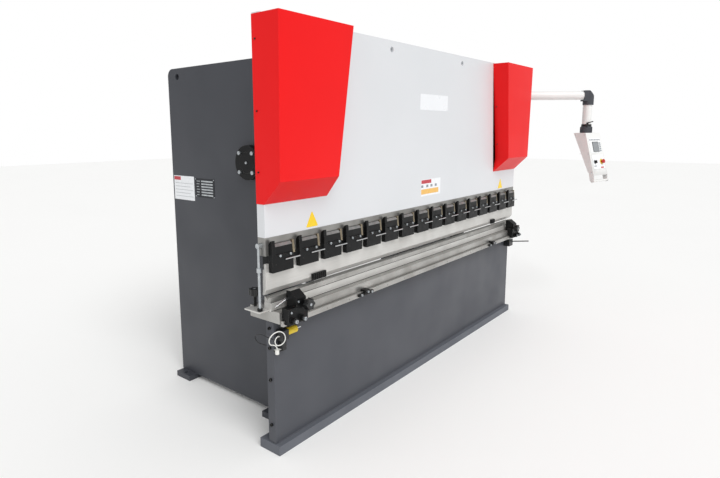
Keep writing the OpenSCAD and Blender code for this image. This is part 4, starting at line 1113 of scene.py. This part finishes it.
@dataclass
class Drive:
    """Cylinders, torsion shaft, tank, pump and pipes.

    Attributes:
        fin_count: number of the motor's cooling fins.
        fin_height: how far a fin stands out.
        fin_x: ends of the fins.
        motor_r: radius of the motor's shell.
        motor_down: how far its middle is under the top of its terminal box.
        bolt_count: number of bolts in a bearing's cover.
        bolt_circle: radius that those bolts sit on.
        bolt_out: height of the bolts in the bearing's flange, which the cover hides.
        cover: thickness of the cover's rim.
        hub: thickness of its middle.
        lid_screws: number of screws along each edge of the tank's lid.
        filler_x: place of the tank's filler.
        filler_ribs: number of ribs round its cap.
        glass_x: ends of the level glass.
        glass_z: its foot and top.
        port: distance of a pipe's port from the valve block's middle.
        pipe_r: radius of the pipes.
        drop_x: distance of the two outer pipe ends from mid-length.
        clip_x: places of the clips on the long pipes.
        clip_y: places of the clips on the short ones.
    """

    fin_count: int = 30
    fin_height: float = 0.007
    fin_x: tuple[float, float] = (0.190, 0.490)
    motor_r: float = 0.115
    motor_down: float = 0.155
    bolt_count: int = 4
    bolt_circle: float = 0.080
    bolt_out: float = 0.012
    cover: float = 0.0135
    hub: float = 0.0155
    lid_screws: int = 14
    filler_x: float = -0.760
    filler_ribs: int = 18
    glass_x: tuple[float, float] = (-0.980, -0.945)
    glass_z: tuple[float, float] = (1.70, 1.86)
    port: float = 0.05
    pipe_r: float = 0.011
    drop_x: float = 1.33
    clip_x: tuple[float, ...] = (-0.9, -0.6, 0.1, 0.5, 0.9)
    clip_y: tuple[float, ...] = (0.40, 0.70)

    def build(self) -> None:
        """Build the drive's pieces."""
        for node in ("cylinders", "torsion_shaft", "ram_links", "oil_tank"):
            dress(node, 0.002, FRAME_PAINT)
        dress("piston_rods", 0.0015, CHROME)
        dress("torsion_bearings", 0.0015, BLACK_OXIDE)
        dress("pump_motor", 0.002, MOTOR_ENAMEL)
        dress("valve_block", 0.0015, ZINC)
        dress("pressure_pipes", 0.0, ZINC)
        self.bearing_caps()
        self.motor_fins()
        self.tank_fittings()
        self.pipe_nuts()

    def bearing_caps(self) -> None:
        """Close each bearing with a cover disc, its bright bolts and a bright centre plug."""
        made = Builder(BLACK_OXIDE, ZINC)
        low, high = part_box("torsion_bearings")
        y, z, face = (low[1] + high[1]) / 2, (low[2] + high[2]) / 2, high[0] - self.bolt_out
        r, rim = (high[2] - low[2]) / 2, 0.002
        cap = [(0, self.hub), (r * 0.60, self.hub), (r * 0.62, self.cover), (r - rim, self.cover),
               (r, self.cover - rim), (r, -0.001)]
        plug = [(0.0085, -SEAT), (0.0085, 0.004), (0.006, 0.007), (0, 0.008)]
        bolt = [(0.0130, -SEAT), (0.0130, 0.011), (0.0112, 0.0125), (0, 0.0125)]
        for side in SIDES:
            made.turned(cap, (side * face, y, z), (side, 0, 0), 64)
            made.turned(plug, (side * (face + self.hub), y, z), (side, 0, 0), 16, 1)
            for i in range(self.bolt_count):
                angle = math.tau * (i + 0.5) / self.bolt_count
                across, up = self.bolt_circle * math.cos(angle), self.bolt_circle * math.sin(angle)
                made.turned(bolt, (side * (face + self.cover), y + across, z + up), (side, 0, 0), 6, 1)
        made.piece("bearing_caps", "frame")

    def motor_fins(self) -> None:
        """Add the motor's cooling fins, fan grille and terminal screws."""
        made = Builder(MOTOR_ENAMEL, ZINC)
        end, _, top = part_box("pump_motor")[1]
        tank_low, tank_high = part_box("oil_tank")
        y, z, r = (tank_low[1] + tank_high[1]) / 2, top - self.motor_down, self.motor_r
        for i in range(self.fin_count):
            angle = math.tau * i / self.fin_count
            if abs(math.sin(angle)) > 0.86:
                continue
            place = Matrix.Translation((0, y, z)) @ Matrix.Rotation(angle, 4, "X")
            made.block((self.fin_x[0], r - 0.002, -0.0015), (self.fin_x[1], r + self.fin_height, 0.0015),
                       0.0006, 0, place)
        for ring in range(4):
            a, b = 0.030 + ring * 0.018, 0.038 + ring * 0.018
            made.turned([(a, 0), (a, 0.003), (b, 0.003), (b, 0)], (end + SEAT, y, z), (1, 0, 0), 40, 1)
        for dx in (0.300, 0.380):
            for dy in (-0.05, 0.05):
                made.screw((dx, y + dy, top - 0.0003), (0, 0, 1), 0.006, 1, 12)
        made.piece("motor_fins", "frame")

    def tank_fittings(self) -> None:
        """Add the tank lid's screws, the filler cap and the level glass."""
        made = Builder(ZINC, BLACK_NYLON, YELLOW_ENAMEL)
        low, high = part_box("oil_tank")
        lid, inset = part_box("valve_block")[0][2], 0.05
        for i in range(self.lid_screws):
            x = low[0] + inset + i * (high[0] - low[0] - 2 * inset) / (self.lid_screws - 1)
            for y in (low[1] + 0.02, high[1] - 0.02):
                made.screw((x, y, lid), (0, 0, 1), 0.008, 0, 12)
        filler = (self.filler_x, (low[1] + high[1]) / 2, high[2])
        cap = [(0, 0.012), (0.044, 0.012), (0.044, -0.022), (0.0385, -0.022)]
        made.turned(cap, filler, (0, 0, 1), 36, 1)
        for i in range(self.filler_ribs):
            turn = Matrix.Translation(filler) @ Matrix.Rotation(math.tau * i / self.filler_ribs, 4, "Z")
            made.block((0.043, -0.002, -0.020), (0.0465, 0.002, 0.010), 0.0006, 1, turn)
        (x0, x1), (z0, z1), back = self.glass_x, self.glass_z, high[1]
        made.block((x0, back - 0.001, z0), (x1, back + 0.006, z1), 0.003, 0)
        made.block((x0 + 0.008, back + 0.005, z0 + 0.015), (x1 - 0.008, back + 0.009, z1 - 0.015), 0.002, 2)
        made.piece("tank_fittings", "frame")

    def pipe_nuts(self) -> None:
        """Add the pipes' union nuts and the clips that hold them."""
        made = Builder(ZINC, BLACK_NYLON)
        block_low, block_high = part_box("valve_block")
        low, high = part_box("pressure_pipes")
        run_y, top = 0.190, high[2] - self.pipe_r
        wide, narrow, tall = 0.018, 0.012, 0.014
        for side in SIDES:
            x = (block_low[0] + block_high[0]) / 2 + side * self.port
            made.disc_nut((x, high[1], low[2] + self.pipe_r), (0, -1, 0), 0.034, 0.026)
            made.disc_nut((side * self.drop_x, low[1], 2.150), (0, 1, 0), 0.036, 0.024)
            made.disc_nut((side * self.drop_x, run_y, 2.166), (0, 0, -1), 0.034, 0.020)
            for y in self.clip_y:
                made.block((x - wide, y - narrow, top - tall), (x + wide, y + narrow, top + tall), 0.002, 1)
        for x in self.clip_x:
            made.block((x - narrow, run_y - wide, top - tall), (x + narrow, run_y + wide, top + tall), 0.002, 1)
        made.piece("pipe_nuts", "frame")


@dataclass
class BackGauge:
    """Supports, screws, belt, beam and fingers.

    Attributes:
        thread_turns: number of turns drawn on each screw.
        thread_depth: how far the thread stands out.
        thread_y: its two ends along Y.
        screw_r: radius of a screw's shank.
        lock_y: place of a finger's locking screws.
        lock_z: height of their seat.
        lock_dx: how far each is from the finger's middle.
        rail_x: distance of the linear rails from mid-length.
        rail_y: place of a rail's first screw.
        rail_gap: distance between two screws of a rail.
        rail_count: number of screws in a rail.
        rail_seat: height of their seats, sunk so that the carriages pass over them.
    """

    thread_turns: int = 30
    thread_depth: float = 0.0012
    thread_y: tuple[float, float] = (0.232, 0.872)
    screw_r: float = 0.0125
    lock_y: float = 0.480
    lock_z: float = 0.920
    lock_dx: float = 0.022
    rail_x: float = 1.0
    rail_y: float = 0.225
    rail_gap: float = 0.085
    rail_count: int = 9
    rail_seat: float = 0.75285

    def build(self) -> None:
        """Build the back gauge's pieces."""
        dress("gauge_supports", 0.0015, GAUGE_PAINT)
        dress("gauge_beam", 0.0015, ANODISED)
        dress("gauge_motor", 0.002, BLACK_NYLON)
        dress("gauge_belt", 0.0, RUBBER)
        for side in ("left", "right"):
            dress(side + "_gauge_screw", 0.0006, CHROME)
            dress(side + "_finger", 0.0012, MILLED_STEEL)
            self.thread(side)
            self.finger_screws(side)
        self.rail_screws()

    def thread(self, side: str) -> None:
        """Wind a screw's thread.

        Args:
            side: left or right.
        """
        made = Builder(CHROME)
        low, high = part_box(side + "_gauge_screw")
        x, z = (low[0] + high[0]) / 2, (low[2] + high[2]) / 2
        root, crest, width = self.screw_r - 0.0003, self.screw_r + self.thread_depth, 0.009
        start, end = self.thread_y
        turns, steps = self.thread_turns, self.thread_turns * 14
        outline = [(root, 0.0), (crest, 0.003), (crest, 0.006), (root, width)]
        points = [made.bm.verts.new((x + a, start + b, z)) for a, b in outline]
        edges = [made.bm.edges.new((points[i], points[(i + 1) % 4])) for i in range(4)]
        bmesh.ops.spin(made.bm, geom=points + edges, cent=(x, 0, z), axis=(0, 1, 0),
                       dvec=(0, (end - start - width) / steps, 0), angle=math.tau * turns, steps=steps,
                       use_merge=False, use_duplicate=False)
        bmesh.ops.holes_fill(made.bm, edges=[e for e in made.bm.edges if e.is_boundary], sides=4)
        bmesh.ops.recalc_face_normals(made.bm, faces=made.bm.faces)
        made.piece(side + "_thread", body_of_node(side + "_gauge_screw"))

    def finger_screws(self, side: str) -> None:
        """Add a finger's locking screws.

        Args:
            side: left or right.
        """
        made = Builder(BLACK_OXIDE)
        low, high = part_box(side + "_finger")
        x = (low[0] + high[0]) / 2
        for dx in (-self.lock_dx, self.lock_dx):
            made.screw((x + dx, self.lock_y, self.lock_z), (0, 0, 1), 0.008)
        made.piece(side + "_finger_screws", body_of_node(side + "_finger"))

    def rail_screws(self) -> None:
        """Add the linear rails' screws and the motor's plug."""
        made = Builder(BLACK_OXIDE)
        for side in SIDES:
            for i in range(self.rail_count):
                at = (side * self.rail_x, self.rail_y + i * self.rail_gap, self.rail_seat)
                made.screw(at, (0, 0, 1), 0.006, 0, 12)
        low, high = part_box("gauge_motor")
        made.block((low[0] + 0.02, high[1] - 0.05, high[2] - 0.001),
                   (high[0] - 0.02, high[1] - 0.01, high[2] + 0.018), 0.002)
        made.piece("gauge_rail_screws", "frame")


@dataclass
class Cabinet:
    """Electrical cabinet with its door.

    Attributes:
        louvres: number of slots in the vent.
        louvre_gap: distance between two slots.
        vent_y: ends of the slots.
        vent_z: height of the lowest slot.
        switch_y: ends of the switch's yellow plate.
        switch_z: its foot and top.
        rosette_y: ends of the handle's rosette.
        rosette_z: its foot and top.
        gland_count: number of cable glands.
        gland_gap: distance between two glands.
    """

    louvres: int = 9
    louvre_gap: float = 0.018
    vent_y: tuple[float, float] = (0.70, 1.02)
    vent_z: float = 0.84
    switch_y: tuple[float, float] = (0.825, 0.895)
    switch_z: tuple[float, float] = (1.455, 1.545)
    rosette_y: tuple[float, float] = (0.588, 0.632)
    rosette_z: tuple[float, float] = (1.14, 1.28)
    gland_count: int = 5
    gland_gap: float = 0.10

    def build(self) -> None:
        """Build the cabinet's pieces."""
        dress("cabinet_box", 0.0015, CABINET_PAINT)
        dress("cabinet_door", 0.0015, CABINET_PAINT)
        dress("door_handle", 0.003, BLACK_NYLON)
        dress("main_switch", 0.0015, SWITCH_RED)
        self.door_details()
        self.glands()

    def door_details(self) -> None:
        """Add the vents, the switch's yellow plate and the handle's rosette."""
        made = Builder(CABINET_PAINT, YELLOW_ENAMEL, BLACK_NYLON)
        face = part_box("cabinet_door")[1][0]
        inside = face - 0.0004
        for i in range(self.louvres):
            z = self.vent_z + i * self.louvre_gap
            made.block((inside, self.vent_y[0], z), (face + 0.004, self.vent_y[1], z + 0.006), 0.0015)
        for (y0, y1), (z0, z1), out, edge, slot in ((self.switch_y, self.switch_z, 0.0012, 0.0005, 1),
                                                    (self.rosette_y, self.rosette_z, 0.003, 0.001, 2)):
            made.block((inside, y0, z0), (face + out, y1, z1), edge, slot)
        made.piece("cabinet_door_details", "door")

    def glands(self) -> None:
        """Add the cable glands under the cabinet."""
        made = Builder(BLACK_NYLON)
        low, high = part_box("cabinet_box")
        for i in range(self.gland_count):
            at = ((low[0] + high[0]) / 2, low[1] + (i + 1) * self.gland_gap, low[2] + 0.0004)
            made.disc_nut(at, (0, 0, -1), 0.036, 0.010)
            made.turned([(0.013, 0.009), (0.013, 0.022), (0.009, 0.027), (0, 0.027)], at, (0, 0, -1), 20)
        made.piece("cable_glands", "frame")


@dataclass
class Pendant:
    """Arm, joints and control box.

    Attributes:
        turn_deg: the box's heading.
        lean: how far the face leans, as its depth and height.
        half_w: half the box's width.
        shift: how far the box sits beside the drop tube.
        front: how far the face's top edge stands out from the drop tube's middle.
        stop_x: the stop button's place across the face.
        selector_x: the selector's place across the face.
        control_down: how far down the face both sit.
        grip_drop: how far the handle bar hangs under the box.
        film_x: ends of the printed film across the face.
        film_z: its foot and top beside the window, up the face.
        window_x: ends of the display across the face.
        window_z: its foot and top.
        side_keys: number of keys beside the window.
        low_keys: number of keys under it.
    """

    turn_deg: float = -12.6
    lean: tuple[float, float] = (0.106, 0.402)
    half_w: float = 0.135
    shift: float = 0.018
    front: float = 0.059
    stop_x: float = 0.056
    selector_x: float = -0.068
    control_down: float = 0.286
    grip_drop: float = 0.052
    film_x: tuple[float, float] = (-0.104, 0.110)
    film_z: tuple[float, float] = (-0.196, -0.050)
    window_x: tuple[float, float] = (-0.052, 0.054)
    window_z: tuple[float, float] = (-0.185, -0.094)
    side_keys: int = 5
    low_keys: int = 7

    def place(self) -> Matrix:
        """Return the box's own frame: its top's middle, its face to -Y."""
        low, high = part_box("pendant_collar")
        middle = ((low[0] + high[0]) / 2, (low[1] + high[1]) / 2, low[2])
        turn = Matrix.Rotation(math.radians(self.turn_deg), 4, "Z")
        return Matrix.Translation(middle) @ turn @ Matrix.Translation((self.shift, 0, 0))

    def face(self) -> Matrix:
        """Return the sloping face's frame: X across it, -Y out of it, Z up it."""
        tilt = math.atan2(*self.lean)
        return self.place() @ Matrix.Translation((0, -self.front, 0)) @ Matrix.Rotation(-tilt, 4, "X")

    def on_face(self, x: float, out: float, down: float) -> Point:
        """Return a point of the face's frame in the row frame."""
        return tuple(self.face() @ Vector((x, -out, -down)))

    def outward(self) -> Point:
        """Return the direction out of the face."""
        return tuple(self.face().to_3x3() @ Vector((0, -1, 0)))

    def build(self) -> None:
        """Build the pendant's pieces."""
        dress("pendant_arm", 0.0, PENDANT_PAINT)
        dress("arm_elbow", 0.004, CAST_GREY)
        dress("clamp_lever", 0.001, BLACK_NYLON)
        dress("pendant_housing", 0.0, PENDANT_PAINT)
        self.collar()
        self.panel()
        self.stop()
        self.selector()
        self.box_screws()

    def collar(self) -> None:
        """Turn the ribbed collar over the box."""
        made = Builder(CAST_GREY)
        low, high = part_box("pendant_collar")
        height = high[2] - low[2]
        at = ((low[0] + high[0]) / 2, (low[1] + high[1]) / 2, low[2])
        r = (high[0] - low[0]) / 2
        profile = [(0, 0), (r - 0.0015, 0), (r - 0.0015, height - 0.004), (r - 0.005, height), (0, height)]
        made.turned(profile, at, (0, 0, 1), 64)
        for i in range(48):
            turn = Matrix.Translation(at) @ Matrix.Rotation(math.tau * i / 48, 4, "Z")
            made.block((r - 0.0025, -0.0014, 0.004), (r, 0.0014, height - 0.008), 0.0006, 0, turn)
        made.piece("pendant_collar_dressed", "head", ("pendant_collar",))

    def panel(self) -> None:
        """Build the panel film with its window, keys and printed fields."""
        made = Builder(PANEL_FILM, DISPLAY, KEY_GREY, BLACK_NYLON, VINYL_RED)
        face = self.face()
        down = self.control_down
        (x0, x1), (z0, z1) = self.film_x, self.film_z
        made.block((x0, -0.0032, -down - 0.070), (x1, -0.0003, -down + 0.070), 0.001, 0, face)
        made.block((x0, -0.0028, z0), (x1, -0.0003, z1), 0.001, 0, face)
        (x0, x1), (z0, z1) = self.window_x, self.window_z
        made.block((x0 - 0.004, -0.0060, z0 - 0.003), (x1 + 0.004, -0.0024, z1 + 0.004), 0.001, 3, face)
        made.block((x0, -0.0064, z0), (x1, -0.0056, z1), 0.0004, 1, face)
        for i in range(self.side_keys):
            z = -0.186 + i * 0.019
            made.block((0.070, -0.0040, z), (0.100, -0.0024, z + 0.013), 0.0012, 2, face)
        for i in range(self.low_keys):
            x = -0.094 + i * 0.029
            made.block((x, -0.0040, -0.076), (x + 0.020, -0.0024, -0.064), 0.0012, 2, face)
        made.block((self.stop_x - 0.028, -0.0040, -down - 0.062), (self.stop_x + 0.028, -0.0030, -down - 0.050),
                   0.0003, 4, face)
        made.block((self.selector_x - 0.026, -0.0040, -down - 0.044), (self.selector_x + 0.026, -0.0030, -down - 0.036),
                   0.0003, 2, face)
        made.piece("pendant_panel", "head", ("pendant_screen",))

    def stop(self) -> None:
        """Turn the stop button's mushroom head and the ring under it."""
        out = self.outward()
        made = Builder(SWITCH_RED)
        profile = [(0, -0.002), (0.011, -0.002), (0.011, 0.018), (0.0165, 0.0185), (0.020, 0.022), (0.020, 0.028),
                   (0.0175, 0.0325), (0.010, 0.034), (0, 0.034)]
        made.turned(profile, self.on_face(self.stop_x, 0, self.control_down), out, 36)
        made.piece("emergency_stop_dressed", "stop_button", ("emergency_stop",))
        ring = Builder(YELLOW_ENAMEL)
        ring.turned([(0.0124, 0.002), (0.0124, 0.006), (0.026, 0.006), (0.027, 0.004), (0.027, 0.002)],
                    self.on_face(self.stop_x, 0, self.control_down), out, 40)
        ring.piece("stop_ring", "head")

    def selector(self) -> None:
        """Build the selector's knob with its pointer."""
        out = self.outward()
        made = Builder(BLACK_NYLON, VINYL_WHITE)
        made.turned([(0, 0.0043), (0.015, 0.0043), (0.015, 0.012), (0.0135, 0.014), (0, 0.014)],
                    self.on_face(self.selector_x, 0, self.control_down), out, 32)
        face = self.face()
        x, z = self.selector_x, -self.control_down
        made.block((x - 0.005, -0.026, z - 0.014), (x + 0.005, -0.0135, z + 0.014), 0.0015, 0, face)
        made.block((x - 0.0007, -0.0264, z + 0.006), (x + 0.0007, -0.0255, z + 0.013), 0.0, 1, face)
        made.piece("mode_selector_dressed", "selector", ("mode_selector",))
        ring = Builder(ZINC)
        ring.turned([(0.0155, 0.0028), (0.0155, 0.0050), (0.0185, 0.0050), (0.0195, 0.0028)],
                    self.on_face(self.selector_x, 0, self.control_down), out, 36)
        ring.piece("selector_ring", "head")

    def box_screws(self) -> None:
        """Add the small screws on the box's sides and the handle's end caps."""
        made = Builder(ZINC, CAST_GREY, PENDANT_PAINT)
        place = self.place()
        for side in SIDES:
            out = tuple(place.to_3x3() @ Vector((side, 0, 0)))
            for y, z in ((-0.048, -0.020), (-0.100, -0.200), (-0.142, -0.372), (0.042, -0.020), (-0.02, -0.2)):
                made.screw(tuple(place @ Vector((side * self.half_w, y, z))), out, 0.004, 0, 12)
            end_y, end_z = -self.front - self.lean[0] + 0.004, -self.lean[1] - self.grip_drop
            end = tuple(place @ Vector((side * self.half_w, end_y, end_z)))
            made.turned([(0, 0.003), (0.013, 0.003), (0.015, 0.001), (0.015, -0.001), (0, -0.001)], end, out, 28,
                        1 if side > 0 else 2)
        made.piece("box_screws", "head")


@dataclass
class TableFittings:
    """Stroke rod, knobs, sliding brackets and limit switches.

    Attributes:
        barrel_x: where the left switch's yellow barrel starts.
        ferrule: middle of the white cable's ferrule along X and Y.
        ferrule_top: its top.
        ferrule_r: its radius, with a little to spare.
        slide_screws: places along X and Z of the screws in a bracket's lower half.
        arm_screws: places along X and Z of the screws in its arm.
        strip_x: ends of the worn steel strip on its arm.
        strip_y: front and back of that strip.
    """

    barrel_x: float = -1.4805
    ferrule: tuple[float, float] = (-1.55, -0.016)
    ferrule_top: float = 0.603
    ferrule_r: float = 0.0115
    slide_screws: tuple = ((1.508, 0.770), (1.444, 0.770))
    arm_screws: tuple = ((1.466, 0.862), (1.520, 0.815))
    strip_x: tuple[float, float] = (1.408, 1.476)
    strip_y: tuple[float, float] = (-0.047, -0.022)

    def build(self) -> None:
        """Build the small fittings' pieces."""
        dress("stroke_rod", 0.001, ZINC)
        self.guide()
        dress("star_knob", 0.002, BLACK_NYLON)
        self.switches()
        dress("switch_plunger", 0.0008, CHROME)
        for side, word in zip(SIDES, ("left", "right")):
            dress(word + "_bracket", 0.0015, BLACK_OXIDE)
            dress(word + "_bracket_knob", 0.002, BLACK_NYLON)
            dress(word + "_bracket_lever", 0.0008, CHROME)
            self.bracket_details(side, word)
        self.knob_caps()

    def guide(self) -> None:
        """Copy the stroke rod's guide: a milled plate with a blackened post."""
        made = Builder(MILLED_STEEL, BLACK_OXIDE)
        made.copy_of("rod_guide", 0.0012)
        plate_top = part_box("rod_guide")[0][2] + 0.0085
        for face in made.bm.faces:
            face.material_index = int(face.calc_center_median().z > plate_top)
        made.piece("rod_guide_dressed", "frame", ("rod_guide",))

    def switches(self) -> None:
        """Copy the limit switches: a yellow barrel and a white ferrule on black housings."""
        made = Builder(BLACK_NYLON, YELLOW_ENAMEL, WHITE_JACKET)
        made.copy_of("limit_switch", 0.001)
        for face in made.bm.faces:
            at = face.calc_center_median()
            barrel = self.barrel_x < at.x < 0
            ferrule = at.z < self.ferrule_top and math.dist(at.xy, self.ferrule) < self.ferrule_r
            face.material_index = 1 if barrel else 2 if ferrule else 0
        made.piece("limit_switch_dressed", "frame", ("limit_switch",))

    def bracket_details(self, side: int, word: str) -> None:
        """Add a bracket's screws and its worn steel strip.

        Args:
            side: -1 for the left bracket, 1 for the right one.
            word: left or right.
        """
        made = Builder(ZINC, GROUND_STEEL)
        low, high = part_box(word + "_bracket")
        for x, z in self.slide_screws:
            made.screw((side * x, low[1] - SEAT, z), (0, -1, 0), 0.014)
        for x, z in self.arm_screws:
            made.screw((side * x, -0.0948, z), (0, -1, 0), 0.008)
        low_x, high_x = sorted(side * x for x in self.strip_x)
        made.block((low_x, self.strip_y[0], high[2] + 0.0001), (high_x, self.strip_y[1], high[2] + 0.0015), 0.0005, 1)
        made.piece(word + "_bracket_details", body_of_node(word + "_bracket"))

    def knob_caps(self) -> None:
        """Add the bright screw end in the middle of each knob."""
        profile = [(0.008, 0), (0.008, 0.0015), (0.006, 0.0025), (0, 0.0028)]
        for node, name, axis in (("star_knob", "star_knob_cap", (0, 0, 1)),
                                 ("left_bracket_knob", "left_knob_cap", (0, -1, 0)),
                                 ("right_bracket_knob", "right_knob_cap", (0, -1, 0))):
            low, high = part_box(node)
            at = [(a + b) / 2 for a, b in zip(low, high)]
            if axis[2]:
                at[2] = high[2] - SEAT
            else:
                at[1] = low[1] + SEAT
            made = Builder(ZINC)
            made.turned(profile, tuple(at), axis, 20)
            made.piece(name, body_of_node(node))


def main() -> None:
    """Build the studio and every sub-assembly, in order, and report each."""
    logging.basicConfig(level=logging.INFO, format="%(name)s: %(message)s")
    studio = Studio()
    studio.camera()
    SensorCables().build()
    parts = (MachineFrame(), BendingTools(), Ram(), PunchClamps(), Drive(), BackGauge(), Cabinet(), Pendant(),
             TableFittings())
    for part in parts:
        part.build()
        LOG.info("%s built", type(part).__name__)
    studio.build()


if __name__ == "__main__":
    main()
